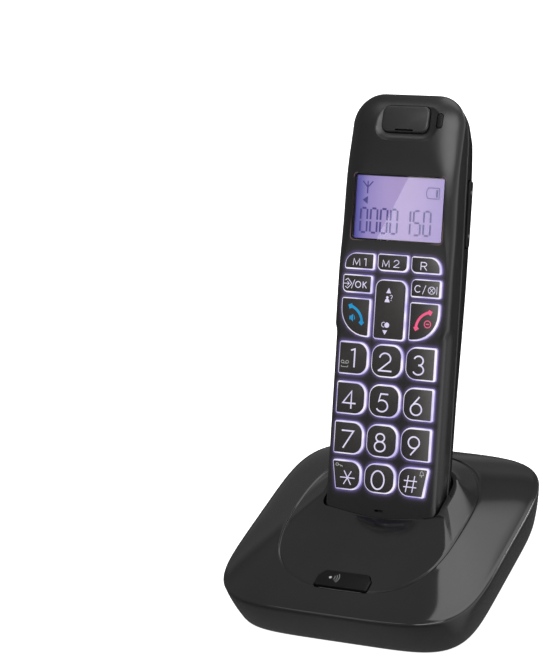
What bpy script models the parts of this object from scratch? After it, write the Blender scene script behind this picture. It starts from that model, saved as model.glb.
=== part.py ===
"""Cordless telephone: a leaning handset that lifts out of the pocket of a square charging base.

Sizes are in millimetres and become metres where a mesh is made. Two empties carry the parts.
base_frame stands at the middle of the base, on the surface it rests on. handset_frame lies in
the handset's keypad face: X across, Y up along the handset from its microphone, Z out of the
face. The frame's origin is under the middle of the whole set, and the front is -Y.
"""

import math

import bmesh
import bpy
from mathutils import Matrix, Vector

MM = 0.001
GAP = 0.3  # between pieces that touch
WALL = 1.8  # every moulded wall

# Base
BASE_CENTRE_Y = -20.7
BASE_STEPS = 72  # points round the base
RIM_HALF = (55.0, 55.3)
RIM_POWER = 4.75
RIM_HEIGHT = 18.8
FOOTPRINT_HALF = (50.5, 49.9)
FOOTPRINT_POWER = 5.5
SKIRT_BOTTOM = 0.5
CREASE_HALF = (38.8, 44.0)  # closed groove round the mound that holds the handset
CREASE_POWER = 2.5
CREASE_FRONT_HEIGHT = 20.8
CREASE_SIDE_HEIGHT = 23.8
CREASE_WIDTH = 0.8
CREASE_DEPTH = 0.5
MOUTH_HALF = (27.0, 15.2)
MOUTH_CENTRE_Y = 12.8
MOUTH_POWER = 5.0
POCKET_TOP_V = 30.0  # the pocket is as deep as the handset is thick here
POCKET_EDGE = 5.5
LIP_FRONT = 25.3
LIP_CORNER_RISE = 4.0
LIP_BACK_RISE = 8.0
FOOT_RADIUS = 5.5
FOOT_HEIGHT = 1.7
FOOT_PLACE = 36.2
COVER_LOW, COVER_HIGH = 0.5, 2.8
SCREW_X, SCREW_Y = 42.4, 20.0
BOARD_LOW, BOARD_HIGH = 4.4, 6.0
JACK_FACE_Y = 49.4
JACK_Z = 11.0
DC_X, LINE_X = -22.0, 20.0

# Handset
LEAN = math.radians(31.5)  # back from upright
MIC_Y, MIC_Z = -0.1, 27.4  # the keypad face's microphone, from the base's middle
HALF_WIDTH = 24.6
HALF_WIDTH_TOP = 24.0
END_TOP, END_BOTTOM = 165.2, -9.0
CORNER_TOP, CORNER_BOTTOM = 12.4, 6.0
FACE_FLAT_TO = 130.0  # above this the face sweeps back to the earpiece
FACE_SWEEP = 260.0
FRONT_EDGE, BACK_EDGE = 2.6, 7.0
PARTING = -11.0
BACK_PROFILE = (
    (-9.0, -12.6), (-6.5, -15.4), (0.0, -16.8), (35.0, -19.0), (70.0, -21.0), (100.0, -22.2),
    (130.0, -22.2), (146.0, -20.8), (153.0, -18.0), (159.0, -14.6), (162.6, -12.8), (165.2, -12.2),
)
STATIONS = (-9.0, -8.3, -6.5, -3.5, 0.0, 35.0, 70.0, 100.0, 130.0, 140.0, 146.0, 150.0, 153.5,
            156.5, 159.5, 162.0, 163.8, 164.8, 165.2)
WINDOW_HALF, WINDOW_LOW, WINDOW_HIGH = 19.5, 107.0, 133.2
EARPIECE_V = 155.4
BAY_HALF, BAY_LOW, BAY_HIGH = 13.5, 35.5, 92.5
CELL_RADIUS, CELL_LENGTH = 5.2, 44.5
CELL_W = -11.7
VOLUME_V, VOLUME_HALF = 119.3, 13.3
VOLUME_W = -14.6
HANDSET_SCREWS = ((-19.6, 104.4), (19.6, 104.4))

# Keys: (low u, high u, low v, high v) and corner radii from low-left, counter-clockwise
KEY_TOP, KEY_BOTTOM = 1.2, -2.0
SHARP, ROUND = 1.0, 4.6
COLUMN_IN, COLUMN_OUT, MIDDLE = 8.0, 21.0, 6.8
ROWS = ((53.1, 66.3), (37.2, 50.3), (21.3, 34.5), (7.0, 18.9))
LEFT_CORNERS = (SHARP, ROUND, ROUND, SHARP)
RIGHT_CORNERS = (ROUND, SHARP, SHARP, ROUND)
KEYS = {
    "key_memory_1": (-20.8, -7.8, 95.0, 101.7, (SHARP, SHARP, SHARP, 5.0)),
    "key_memory_2": (-6.7, 6.7, 95.0, 101.9, (2.4, 2.4, SHARP, SHARP)),
    "key_recall": (7.8, 20.8, 95.0, 101.7, (2.4, SHARP, 5.0, SHARP)),
    "key_ok": (-21.2, -8.3, 85.6, 92.9, (2.2, SHARP, SHARP, SHARP)),
    "key_clear": (8.3, 21.2, 85.6, 92.9, (SHARP, SHARP, SHARP, 2.2)),
    "key_talk": (-21.2, -8.4, 68.4, 83.7, (11.0, SHARP, SHARP, SHARP)),
    "key_end": (8.4, 21.2, 68.4, 83.7, (SHARP, 11.0, SHARP, SHARP)),
}
DIGITS = (("key_1", "key_2", "key_3"), ("key_4", "key_5", "key_6"), ("key_7", "key_8", "key_9"),
          ("key_star", "key_0", "key_hash"))
ROCKER = (-6.9, 6.9, 67.9, 91.8, (1.6, 1.6, 3.4, 3.4))
TAPER = 1.8  # how far the lowest outer keys draw in

for old in list(bpy.data.objects):
    bpy.data.objects.remove(old)
PHONE = bpy.data.collections.new("cordless_phone")
CUTTERS = bpy.data.collections.new("cutters")
bpy.context.scene.collection.children.link(PHONE)
bpy.context.scene.collection.children.link(CUTTERS)


# ---------------------------------------------------------------- materials


def material(name, colour, roughness, metallic=0.0):
    """A Principled BSDF material."""
    made = bpy.data.materials.new(name)
    made.use_nodes = True
    shader = made.node_tree.nodes["Principled BSDF"]
    shader.inputs["Base Color"].default_value = (*colour, 1.0)
    shader.inputs["Roughness"].default_value = roughness
    shader.inputs["Metallic"].default_value = metallic
    return made


SHELL_BLACK = material("shell_black", (0.02, 0.02, 0.021), 0.32)
KEY_GREY = material("key_grey", (0.045, 0.042, 0.045), 0.45)
LENS_SMOKE = material("lens_smoke", (0.25, 0.22, 0.4), 0.08)
LCD_LAVENDER = material("lcd_lavender", (0.45, 0.38, 0.8), 0.4)
BOARD_GREEN = material("board_green", (0.02, 0.16, 0.06), 0.5)
STEEL = material("steel", (0.55, 0.55, 0.56), 0.3, 1.0)
GOLD = material("contact_gold", (0.75, 0.55, 0.22), 0.3, 1.0)
RUBBER = material("rubber", (0.03, 0.03, 0.03), 0.85)
SILICONE = material("silicone", (0.6, 0.58, 0.62), 0.6)
JACK_GREY = material("jack_grey", (0.08, 0.08, 0.085), 0.5)
CELL_GREEN = material("cell_green", (0.04, 0.22, 0.1), 0.35)
CONE_BLACK = material("speaker_black", (0.03, 0.03, 0.03), 0.6)
PIPE_SMOKE = material("pipe_smoke", (0.05, 0.05, 0.055), 0.15)


# ------------------------------------------------------------------ helpers


def empty(name, place, lean=0.0, parent=None):
    """An empty at place, turned about X."""
    made = bpy.data.objects.new(name, None)
    made.location = Vector(place) * MM
    made.rotation_euler = (lean, 0, 0)
    made.parent = parent
    PHONE.objects.link(made)
    return made


def finish(bm, name, parent, look, at=(0, 0, 0)):
    """Writes bm, in millimetres about at, as an object. No look makes it a cutter."""
    bmesh.ops.recalc_face_normals(bm, faces=bm.faces)
    bmesh.ops.scale(bm, vec=(MM, MM, MM), verts=bm.verts)
    mesh = bpy.data.meshes.new(name)
    bm.to_mesh(mesh)
    bm.free()
    made = bpy.data.objects.new(name, mesh)
    made.location = Vector(at) * MM
    made.parent = parent
    if look is None:
        CUTTERS.objects.link(made)
        made.hide_render = True
        made.display_type = "WIRE"
    else:
        PHONE.objects.link(made)
        mesh.materials.append(look)
        mesh.shade_smooth()
        mesh.set_sharp_from_angle(angle=math.radians(30))
    return made


def boolean(target, cutter, operation="DIFFERENCE"):
    """Adds an exact Boolean of cutter to target."""
    modifier = target.modifiers.new(cutter.name, "BOOLEAN")
    modifier.object = cutter
    modifier.operation = operation
    modifier.solver = "EXACT"


def bevelled(target, width, segments=1, angle=40):
    """Adds a Bevel of the edges sharper than angle."""
    modifier = target.modifiers.new("bevel", "BEVEL")
    modifier.width = width * MM
    modifier.segments = segments
    modifier.limit_method = "ANGLE"
    modifier.angle_limit = math.radians(angle)
    return target


def add_prism(bm, outline, low, high, axis="Z"):
    """Extrudes an outline from low to high along axis. On Y the outline is (x, z), on X it is (y, z)."""
    place = {"Z": lambda a, b: (a, b, low), "Y": lambda a, b: (a, low, b), "X": lambda a, b: (low, a, b)}
    face = bm.faces.new([bm.verts.new(place[axis](a, b)) for a, b in outline])
    moved = bmesh.ops.extrude_face_region(bm, geom=[face])["geom"]
    step = {"Z": (0, 0, high - low), "Y": (0, high - low, 0), "X": (high - low, 0, 0)}[axis]
    bmesh.ops.translate(bm, vec=step, verts=[v for v in moved if isinstance(v, bmesh.types.BMVert)])


def prism(name, outline, low, high, parent, look, axis="Z", at=(0, 0, 0)):
    """One extruded outline as an object."""
    bm = bmesh.new()
    add_prism(bm, outline, low, high, axis)
    return finish(bm, name, parent, look, at)


def add_box(bm, low, high):
    """A box between two corners."""
    low, high = Vector(low), Vector(high)
    size = Matrix.Diagonal((*(high - low), 1.0))
    bmesh.ops.create_cube(bm, size=1.0, matrix=Matrix.Translation((low + high) / 2) @ size)


def box(name, low, high, parent, look, at=(0, 0, 0)):
    """One box as an object."""
    bm = bmesh.new()
    add_box(bm, low, high)
    return finish(bm, name, parent, look, at)


def add_cylinder(bm, centre, radius, low, high, axis="Z", steps=24, top_radius=None):
    """A cylinder or cone round centre, from low to high along axis."""
    turn = {"Z": Matrix(), "Y": Matrix.Rotation(-math.pi / 2, 4, "X"),
            "X": Matrix.Rotation(math.pi / 2, 4, "Y")}
    middle = (low + high) / 2
    place = {"Z": (*centre, middle), "Y": (centre[0], middle, centre[1]), "X": (middle, *centre)}[axis]
    bmesh.ops.create_cone(
        bm, cap_ends=True, segments=steps, radius1=radius,
        radius2=radius if top_radius is None else top_radius, depth=high - low,
        matrix=Matrix.Translation(place) @ turn[axis],
    )


def cylinder(name, centre, radius, low, high, parent, look, axis="Z", steps=24, at=(0, 0, 0)):
    """One cylinder as an object."""
    bm = bmesh.new()
    add_cylinder(bm, centre, radius, low, high, axis, steps)
    return finish(bm, name, parent, look, at)


def loft(name, rings, parent, look, peak=None):
    """A closed solid through rings of equally many points. A peak closes the last ring with a fan."""
    bm = bmesh.new()
    loops = [[bm.verts.new(point) for point in ring] for ring in rings]
    for one, other in zip(loops, loops[1:]):
        for i in range(len(one)):
            j = (i + 1) % len(one)
            bm.faces.new((one[i], one[j], other[j], other[i]))
    bm.faces.new(loops[0])
    if peak is None:
        bm.faces.new(loops[-1])
    else:
        tip = bm.verts.new(peak)
        for i in range(len(loops[-1])):
            bm.faces.new((loops[-1][i], loops[-1][(i + 1) % len(loops[-1])], tip))
    return finish(bm, name, parent, look)


def rounded(corners, steps=4):
    """The points of a polygon, counter-clockwise, whose corners (x, y, radius) are arcs."""
    points = []
    for i, (x, y, radius) in enumerate(corners):
        here = Vector((x, y))
        back = (Vector(corners[i - 1][:2]) - here).normalized()
        ahead = (Vector(corners[(i + 1) % len(corners)][:2]) - here).normalized()
        if radius <= 0:
            points.append((x, y))
            continue
        half = back.angle(ahead) / 2
        centre = here + (back + ahead).normalized() * (radius / math.sin(half))
        start = here + back * (radius / math.tan(half)) - centre
        sweep = math.pi - 2 * half
        for k in range(steps + 1):
            turn = sweep * k / steps
            x_, y_ = start
            points.append((centre.x + x_ * math.cos(turn) - y_ * math.sin(turn),
                           centre.y + x_ * math.sin(turn) + y_ * math.cos(turn)))
    return points


def rectangle(half_x, half_y, radius, centre=(0, 0), steps=4):
    """A rounded rectangle about centre."""
    cx, cy = centre
    return rounded([(cx - half_x, cy - half_y, radius), (cx + half_x, cy - half_y, radius),
                    (cx + half_x, cy + half_y, radius), (cx - half_x, cy + half_y, radius)], steps)


def cross(reach, half):
    """The outline of a screwdriver's cross."""
    arm = [(reach, -half), (reach, half), (half, half)]
    turns = [(1, 0), (0, 1), (-1, 0), (0, -1)]
    return [(c * x - s * y, s * x + c * y) for c, s in turns for x, y in arm]


def oval(half_x, half_y, power, centre_y, steps):
    """Points of a superellipse, evenly spread in angle."""
    points = []
    for i in range(steps):
        c, s = math.cos(math.tau * i / steps), math.sin(math.tau * i / steps)
        reach = ((abs(c) / half_x) ** power + (abs(s) / half_y) ** power) ** (-1 / power)
        points.append((reach * c, centre_y + reach * s))
    return points


def between(table, at):
    """Straight-line reading of a table of (at, value)."""
    for (x0, y0), (x1, y1) in zip(table, table[1:]):
        if at <= x1:
            return y0 + (y1 - y0) * max(0.0, at - x0) / (x1 - x0)
    return table[-1][1]


def smooth(t):
    """Smoothstep from 0 to 1."""
    t = min(1.0, max(0.0, t))
    return t * t * (3 - 2 * t)


BASE = empty("base_frame", (0, BASE_CENTRE_Y, 0))
HANDSET = empty("handset_frame", (0, MIC_Y, MIC_Z), math.pi / 2 - LEAN, BASE)


# --------------------------------------------------------------------- base


def crease_height(y):
    """Height of the groove, lower at the front."""
    front = min(0.0, y) / CREASE_HALF[1]
    return CREASE_SIDE_HEIGHT + (CREASE_FRONT_HEIGHT - CREASE_SIDE_HEIGHT) * front * front


def lip_height(x, y):
    """Height of the pocket's lip: low in front, higher at the corners, highest at the back."""
    side = (x / MOUTH_HALF[0]) ** 2
    back = smooth((y - 12.0) / 14.0) * (1 - 0.35 * side)
    return LIP_FRONT + LIP_CORNER_RISE * side + LIP_BACK_RISE * back


def base_rings(inset, steps):
    """Rings of the base from its lower edge, over the rim and the groove, to the pocket's mouth."""
    rings = []
    for share, rise, bulge in ((0.0, 0.0, 0.0), (0.3, 0.3, 0.4), (0.7, 0.7, 0.3), (1.0, 0.97, 0.0)):
        halves = [foot + (rim - foot) * share + bulge - inset for foot, rim in zip(FOOTPRINT_HALF, RIM_HALF)]
        power = FOOTPRINT_POWER + (RIM_POWER - FOOTPRINT_POWER) * share
        height = SKIRT_BOTTOM + (RIM_HEIGHT - inset - SKIRT_BOTTOM) * rise
        rings.append([(x, y, height) for x, y in oval(*halves, power, 0, steps)])
    top = RIM_HEIGHT - inset
    edge = oval(RIM_HALF[0] - inset - 0.6, RIM_HALF[1] - inset - 0.6, RIM_POWER, 0, steps)
    rings.append([(x, y, top) for x, y in edge])
    crease = oval(*CREASE_HALF, CREASE_POWER, 0, steps)
    for share in (0.35, 0.7):
        ring = []
        for (x0, y0), (x1, y1) in zip(edge, crease):
            rise = (crease_height(y1) - RIM_HEIGHT) * (1 - (1 - share) ** 1.6)
            ring.append((x0 + (x1 - x0) * share, y0 + (y1 - y0) * share, top + rise))
        rings.append(ring)
    groove = ((CREASE_WIDTH, 0.0), (CREASE_WIDTH / 2, CREASE_DEPTH), (0.0, 0.0))
    for out, deep in groove if inset == 0 else groove[2:]:
        around = oval(CREASE_HALF[0] + out, CREASE_HALF[1] + out, CREASE_POWER, 0, steps)
        rings.append([(x, y, crease_height(y) - inset - deep) for x, y in around])
    mouth = oval(MOUTH_HALF[0], MOUTH_HALF[1], MOUTH_POWER, MOUTH_CENTRE_Y, steps)
    for share in (0.35, 0.6, 0.82, 1.0):
        ring = []
        for i in range(steps):
            (x0, y0), (x1, y1) = crease[i], mouth[i]
            sideways = abs(math.cos(math.tau * i / steps)) ** 1.5
            rise = (lip_height(x1, y1) - crease_height(y0)) * share ** (1.05 + 0.85 * sideways)
            ring.append((x0 + (x1 - x0) * share, y0 + (y1 - y0) * share, crease_height(y0) - inset + rise))
        rings.append(ring)
    return rings


def pocket_outline(grow):
    """The handset's lower section, in the handset's own X and Z, grown on every side."""
    half, front, back = HALF_WIDTH + grow, grow, between(BACK_PROFILE, POCKET_TOP_V) - grow
    return rounded([(-half, back, POCKET_EDGE), (half, back, POCKET_EDGE),
                    (half, front, FRONT_EDGE), (-half, front, FRONT_EDGE)])


def make_base():
    """The base's housing, its bottom cover, feet, screws, boards, jacks, button and contacts."""
    centre = (0, MOUTH_CENTRE_Y)
    rings = base_rings(0, BASE_STEPS)
    shell = loft("base_top_shell", rings, BASE, SHELL_BLACK, (*centre, LIP_FRONT + 5))
    inner = base_rings(WALL, BASE_STEPS // 2)
    inner[0] = [(x, y, SKIRT_BOTTOM - 1) for x, y, _ in inner[0]]
    hollow = loft("cut_base_hollow", inner, BASE, None, (*centre, LIP_FRONT + 3))
    tub = prism("cut_tub", pocket_outline(0.5 + WALL), END_BOTTOM - 0.4 - WALL, 60, HANDSET, None, "Y")
    boolean(hollow, tub)
    posts = bmesh.new()
    for x, y in SCREW_SPOTS:
        add_cylinder(posts, (x, y), 3.4, COVER_HIGH + GAP, 26.0, steps=16)
    for x in (-13.4, 13.4):
        add_cylinder(posts, (x, -38.0), 1.8, 17.0, 26.0, steps=12)
    boolean(hollow, finish(posts, "cut_posts", BASE, None))
    boolean(shell, hollow)
    void = prism("cut_pocket", pocket_outline(0.5), END_BOTTOM - 0.4, 80, HANDSET, None, "Y")
    boolean(shell, void)

    holes = bmesh.new()
    for x, y in SCREW_SPOTS:
        add_cylinder(holes, (x, y), 1.6, 2.0, 11.5, steps=12)
    add_cylinder(holes, (DC_X, JACK_Z), 4.6, 45.0, 60.0, "Y")
    add_box(holes, (LINE_X - 6.0, 45.0, JACK_Z - 4.9), (LINE_X + 6.0, 60.0, JACK_Z + 4.9))
    boolean(shell, finish(holes, "cut_base_holes", BASE, None))
    slots = bmesh.new()
    for u in CONTACT_SPOTS:
        add_box(slots, (u - 1.9, END_BOTTOM - 6, -9.4), (u + 1.9, END_BOTTOM + 1, -5.6))
    boolean(shell, finish(slots, "cut_contact_slots", HANDSET, None))

    cover_half = [half - WALL - 0.5 for half in FOOTPRINT_HALF]
    cover_outline = oval(*cover_half, FOOTPRINT_POWER, 0, 44)
    cover = prism("base_bottom_cover", cover_outline, COVER_LOW, COVER_HIGH, BASE, SHELL_BLACK)
    recesses = bmesh.new()
    for x, y in FOOT_SPOTS:
        add_cylinder(recesses, (x, y), FOOT_RADIUS + GAP, 0.0, FOOT_HEIGHT + GAP, steps=20)
    for x, y in SCREW_SPOTS:
        add_cylinder(recesses, (x, y), 3.0, 0.0, COVER_LOW + 1.0, steps=16)
    boolean(cover, finish(recesses, "cut_cover_recesses", BASE, None))
    shanks = bmesh.new()
    for x, y in SCREW_SPOTS:
        add_cylinder(shanks, (x, y), 1.6, 0.0, 5.0, steps=12)
    boolean(cover, finish(shanks, "cut_cover_holes", BASE, None))

    for i, (x, y) in enumerate(FOOT_SPOTS):
        foot = cylinder(f"rubber_foot_{i + 1}", (0, 0), FOOT_RADIUS, 0.0, FOOT_HEIGHT, BASE, RUBBER,
                        steps=20, at=(x, y, 0))
        bevelled(foot, 0.4)
    for i, (x, y) in enumerate(SCREW_SPOTS):
        bm = bmesh.new()
        add_cylinder(bm, (0, 0), 2.6, COVER_LOW + 0.1, COVER_LOW + 0.8, steps=12)
        head = finish(bm, f"base_screw_{i + 1}", BASE, STEEL, (x, y, 0))
        shank = cylinder(f"cut_shank_{i + 1}", (0, 0), 1.25, COVER_LOW + 0.4, 10.8, BASE, None, steps=10,
                         at=(x, y, 0))
        boolean(head, shank, "UNION")
        drive = prism(f"cut_cross_{i + 1}", cross(1.5, 0.3), 0, COVER_LOW + 0.45, BASE, None, at=(x, y, 0))
        boolean(head, drive)

    prism("base_circuit_board", rectangle(37, 19, 2, (0, 26)), BOARD_LOW, BOARD_HIGH, BASE, BOARD_GREEN)
    make_jacks()
    make_page_button(shell)

    for side, u in zip(("left", "right"), CONTACT_SPOTS):
        profile = rounded([(END_BOTTOM - 5.2, -8.4, 0), (END_BOTTOM + 0.9, -8.4, 1.0),
                           (END_BOTTOM + 0.9, -6.6, 1.0), (END_BOTTOM - 5.2, -6.6, 0)], 3)
        prism(f"base_charge_contact_{side}", profile, u - 1.3, u + 1.3, HANDSET, GOLD, "X")


def make_jacks():
    """The round power inlet and the flat line socket on the back."""
    inlet = box("power_inlet", (DC_X - 4.6, 38.5, JACK_Z - 4.7),
                (DC_X + 4.6, JACK_FACE_Y - 0.4, JACK_Z + 4.9), BASE, JACK_GREY)
    bore = cylinder("cut_inlet_bore", (DC_X, JACK_Z), 3.1, 41.5, 60.0, BASE, None, "Y", 20)
    pin = cylinder("cut_inlet_pin", (DC_X, JACK_Z), 1.0, 40.0, JACK_FACE_Y - 1.5, BASE, None, "Y", 12)
    boolean(bore, pin)
    boolean(inlet, bore)
    socket = box("line_socket", (LINE_X - 6.6, 36.5, JACK_Z - 4.7),
                 (LINE_X + 6.6, JACK_FACE_Y - 0.4, JACK_Z + 5.4), BASE, JACK_GREY)
    cavity = bmesh.new()
    add_box(cavity, (LINE_X - 4.9, 38.5, JACK_Z - 3.1), (LINE_X + 4.9, 60.0, JACK_Z + 3.5))
    boolean(socket, finish(cavity, "cut_line_cavity", BASE, None))
    latch = box("cut_line_latch", (LINE_X - 3.1, 42.0, JACK_Z - 4.1),
                (LINE_X + 3.1, 60.0, JACK_Z - 2.5), BASE, None)
    boolean(socket, latch)


def make_page_button(shell):
    """The handset-finder button across the groove, with the switch and little board below it."""
    tilt = math.atan2(LIP_FRONT - CREASE_FRONT_HEIGHT, CREASE_HALF[1] - 2.4)
    frame = empty("page_button_axis", (0, -37.8, 21.6), tilt, BASE)
    wide, narrow, low, high = 11.3, 9.2, -4.2, 4.2
    outline = rounded([(-wide, low, 1.0), (wide, low, 1.0), (wide, high - 3.4, 1.6), (narrow, high, 1.6),
                       (-narrow, high, 1.6), (-wide, high - 3.4, 1.6)])
    bevelled(prism("page_button", outline, -3.2, 0.9, frame, SHELL_BLACK), 0.35)
    grown = [(x * (1 + GAP / wide), y * (1 + GAP / high)) for x, y in outline]
    boolean(shell, prism("cut_page_button", grown, -4.4, 3.0, frame, None))
    box("page_switch", (-3.0, -3.0, -5.6), (3.0, 3.0, -4.3), frame, CONE_BLACK)
    prism("page_board", rectangle(16.0, 4.4, 1.0), -7.1, -5.9, frame, BOARD_GREEN)


SCREW_SPOTS = [(x * SCREW_X, y * SCREW_Y) for x in (-1, 1) for y in (-1, 1)]
FOOT_SPOTS = [(x * FOOT_PLACE, y * FOOT_PLACE) for x in (-1, 1) for y in (-1, 1)]
CONTACT_SPOTS = (-9.0, 9.0)


# ------------------------------------------------------------------ handset


def half_width(v):
    """Half the handset's width at height v, with its rounded corners."""
    half = between(((85.0, HALF_WIDTH), (150.0, HALF_WIDTH_TOP)), v)
    for end, corner, sign in ((END_TOP, CORNER_TOP, 1), (END_BOTTOM, CORNER_BOTTOM, -1)):
        past = sign * (v - (end - sign * corner))
        if past > 0:
            half += math.sqrt(max(0.0, corner**2 - past**2)) - corner
    return half


def face(v):
    """Depth of the front face at height v: flat, swept back towards the earpiece, rounded at the ends."""
    depth = -max(0.0, v - FACE_FLAT_TO) ** 2 / FACE_SWEEP
    for end, corner, drop, sign in ((END_TOP, 4.5, 3.0, 1), (END_BOTTOM, 5.0, 3.0, -1)):
        past = sign * (v - (end - sign * corner))
        if past > 0:
            depth -= drop * (1 - math.sqrt(max(0.0, 1 - (past / corner) ** 2)))
    return depth


def squeezed(v, inset):
    """A station moved inwards from the ends by inset."""
    middle, half = (END_TOP + END_BOTTOM) / 2, (END_TOP - END_BOTTOM) / 2
    return middle + (v - middle) * (half - inset) / half


def front_ring(v, inset, low):
    """The front shell's section at v: square at the parting, rounded at the face."""
    half, top = half_width(v) - inset, face(v) - inset
    edge = min(FRONT_EDGE - inset, (top - low) * 0.8)
    corners = [(-half, low, 0), (half, low, 0), (half, top, edge), (-half, top, edge)]
    return [(u, squeezed(v, inset), w) for u, w in rounded(corners, 3)]


def back_ring(v, inset, high):
    """The rear shell's section at v: square at the parting, well rounded at the back."""
    half, low = half_width(v) - inset, between(BACK_PROFILE, v) + inset
    edge = min(BACK_EDGE - inset, (high - low) * 0.85)
    corners = [(-half, low, edge), (half, low, edge), (half, high, 0), (-half, high, 0)]
    return [(u, squeezed(v, inset), w) for u, w in rounded(corners, 4)]


def key_outline(shape, grow=0.0, taper=0.0):
    """A key's outline about its own centre, and that centre."""
    low_u, high_u, low_v, high_v, radii = shape
    centre = ((low_u + high_u) / 2, (low_v + high_v) / 2)
    a, b = (high_u - low_u) / 2 + grow, (high_v - low_v) / 2 + grow
    left, right = max(0.0, taper), max(0.0, -taper)
    corners = [(-a + left, -b, radii[0]), (a - right, -b, radii[1]), (a, b, radii[2]), (-a, b, radii[3])]
    return rounded(corners, 4), centre


def key_shapes():
    """Every key's name, shape and taper, with the rocker last."""
    shapes = [(name, shape, 0.0) for name, shape in KEYS.items()]
    for row, names in zip(ROWS, DIGITS):
        taper = TAPER if names[0] == "key_star" else 0.0
        shapes.append((names[0], (-COLUMN_OUT, -COLUMN_IN, *row, LEFT_CORNERS), taper))
        shapes.append((names[1], (-MIDDLE, MIDDLE, *row, (ROUND,) * 4), 0.0))
        shapes.append((names[2], (COLUMN_IN, COLUMN_OUT, *row, RIGHT_CORNERS), -taper))
    return shapes + [("navigation_rocker", ROCKER, 0.0)]


def make_keys(holes):
    """The keys, each about its own centre, and their openings in the front shell."""
    for name, shape, taper in key_shapes():
        outline, (u, v) = key_outline(shape, taper=taper)
        bevelled(prism(name, outline, KEY_BOTTOM, KEY_TOP, HANDSET, KEY_GREY, at=(u, v, 0)), 0.35, angle=60)
        grown, _ = key_outline(shape, GAP, taper)
        add_prism(holes, [(u + x, v + y) for x, y in grown], -4.0, 4.0)


def make_front():
    """The front shell with its openings, and the keys in them."""
    shell = loft("handset_front_shell", [front_ring(v, 0, PARTING) for v in STATIONS], HANDSET, SHELL_BLACK)
    hollow = loft("cut_front_hollow", [front_ring(v, WALL, PARTING - 1) for v in STATIONS], HANDSET, None)
    bosses = bmesh.new()
    for u, v in HANDSET_SCREWS:
        add_cylinder(bosses, (u, v), 2.0, PARTING + 0.2, 0.0, steps=14)
    boolean(hollow, finish(bosses, "cut_front_bosses", HANDSET, None))
    boolean(shell, hollow)
    holes = bmesh.new()
    make_keys(holes)
    add_prism(holes, rectangle(WINDOW_HALF, (WINDOW_HIGH - WINDOW_LOW) / 2, 1.2,
                               (0, (WINDOW_HIGH + WINDOW_LOW) / 2)), -3.0, 3.0)
    add_prism(holes, rectangle(1.85, 0.45, 0.4), -3.0, 2.0)
    for u, v in HANDSET_SCREWS:
        add_cylinder(holes, (u, v), 1.3, PARTING - 1, -4.0, steps=10)
    for u in CONTACT_SPOTS:
        add_box(holes, (u - 2.1, END_BOTTOM - 3, -9.4), (u + 2.1, END_BOTTOM + 3.5, -5.6))
    boolean(shell, finish(holes, "cut_front_holes", HANDSET, None))
    return shell


def make_earpiece(shell):
    """The dish, its raised pad with the sound slit, the light beside it and the speaker behind."""
    tilt = -2 * (EARPIECE_V - FACE_FLAT_TO) / FACE_SWEEP
    frame = empty("earpiece_frame", (0, EARPIECE_V, face(EARPIECE_V)), math.atan(tilt), HANDSET)
    dish = rounded([(-13.0, -8.0, 7.0), (13.0, -8.0, 7.0), (16.2, 6.0, 5.5), (-16.2, 6.0, 5.5)], 5)
    boolean(shell, prism("cut_dish", dish, -0.9, 4.0, frame, None))
    holes = bmesh.new()
    add_prism(holes, rectangle(10.0 + GAP, 5.4 + GAP, 3.2, (0, 0)), -6.0, 3.0)
    add_prism(holes, rectangle(1.1 + GAP, 2.9 + GAP, 1.3, (14.4, -0.1)), -6.0, 3.0)
    boolean(shell, finish(holes, "cut_earpiece_holes", frame, None))
    pad = prism("earpiece_cover", rectangle(10.0, 5.4, 2.9, (0, 0)), -2.4, 0.25, frame, SHELL_BLACK)
    bevelled(pad, 0.4)
    boolean(pad, prism("cut_sound_slit", rectangle(3.9, 0.35, 0.3, (0, -4.5)), -4.0, 3.0, frame, None))
    prism("call_light", rectangle(1.1, 2.9, 1.05, (14.4, -0.1)), -2.2, -0.45, frame, PIPE_SMOKE)
    cylinder("earpiece_speaker", (0, -2.0), 5.6, -6.2, -3.2, frame, CONE_BLACK)


def make_back():
    """The rear shell with the battery bay, the speaker slots, the screws and the volume key's notch."""
    rings = [back_ring(v, 0, PARTING - 0.25) for v in STATIONS]
    shell = loft("handset_rear_shell", rings, HANDSET, SHELL_BLACK)
    hollow = loft("cut_back_hollow", [back_ring(v, WALL, PARTING + 1) for v in STATIONS], HANDSET, None)
    bosses = bmesh.new()
    for u, v in HANDSET_SCREWS:
        add_cylinder(bosses, (u, v), 3.0, -27.0, PARTING - 0.5, steps=14)
    boolean(hollow, finish(bosses, "cut_back_bosses", HANDSET, None))
    boolean(shell, hollow)
    holes = bmesh.new()
    bay = rectangle(BAY_HALF, (BAY_HIGH - BAY_LOW) / 2, 0.4, (0, (BAY_HIGH + BAY_LOW) / 2))
    add_prism(holes, bay, -27.0, -16.0)
    for u, v in HANDSET_SCREWS:
        add_cylinder(holes, (u, v), 2.2, -27.0, -16.5, steps=14)
    for v in (136.0, 139.0, 142.0):
        add_prism(holes, rectangle(6.5, 0.6, 0.5, (0, v)), -27.0, -19.0)
    reach = VOLUME_HALF + GAP
    add_box(holes, (20.0, VOLUME_V - reach, VOLUME_W - 2.1), (28.0, VOLUME_V + reach, VOLUME_W + 2.1))
    boolean(shell, finish(holes, "cut_back_holes", HANDSET, None))
    shanks = bmesh.new()
    for u, v in HANDSET_SCREWS:
        add_cylinder(shanks, (u, v), 1.4, -20.0, PARTING + 1, steps=10)
    boolean(shell, finish(shanks, "cut_back_screws", HANDSET, None))

    for i, (u, v) in enumerate(HANDSET_SCREWS):
        at = (u, v, 0)
        head = cylinder(f"handset_screw_{i + 1}", (0, 0), 1.9, -17.6, -16.7, HANDSET, STEEL, steps=12, at=at)
        shank = cylinder(f"cut_shaft_{i + 1}", (0, 0), 1.0, -17.2, -5.2, HANDSET, None, steps=10, at=at)
        boolean(head, shank, "UNION")


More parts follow.
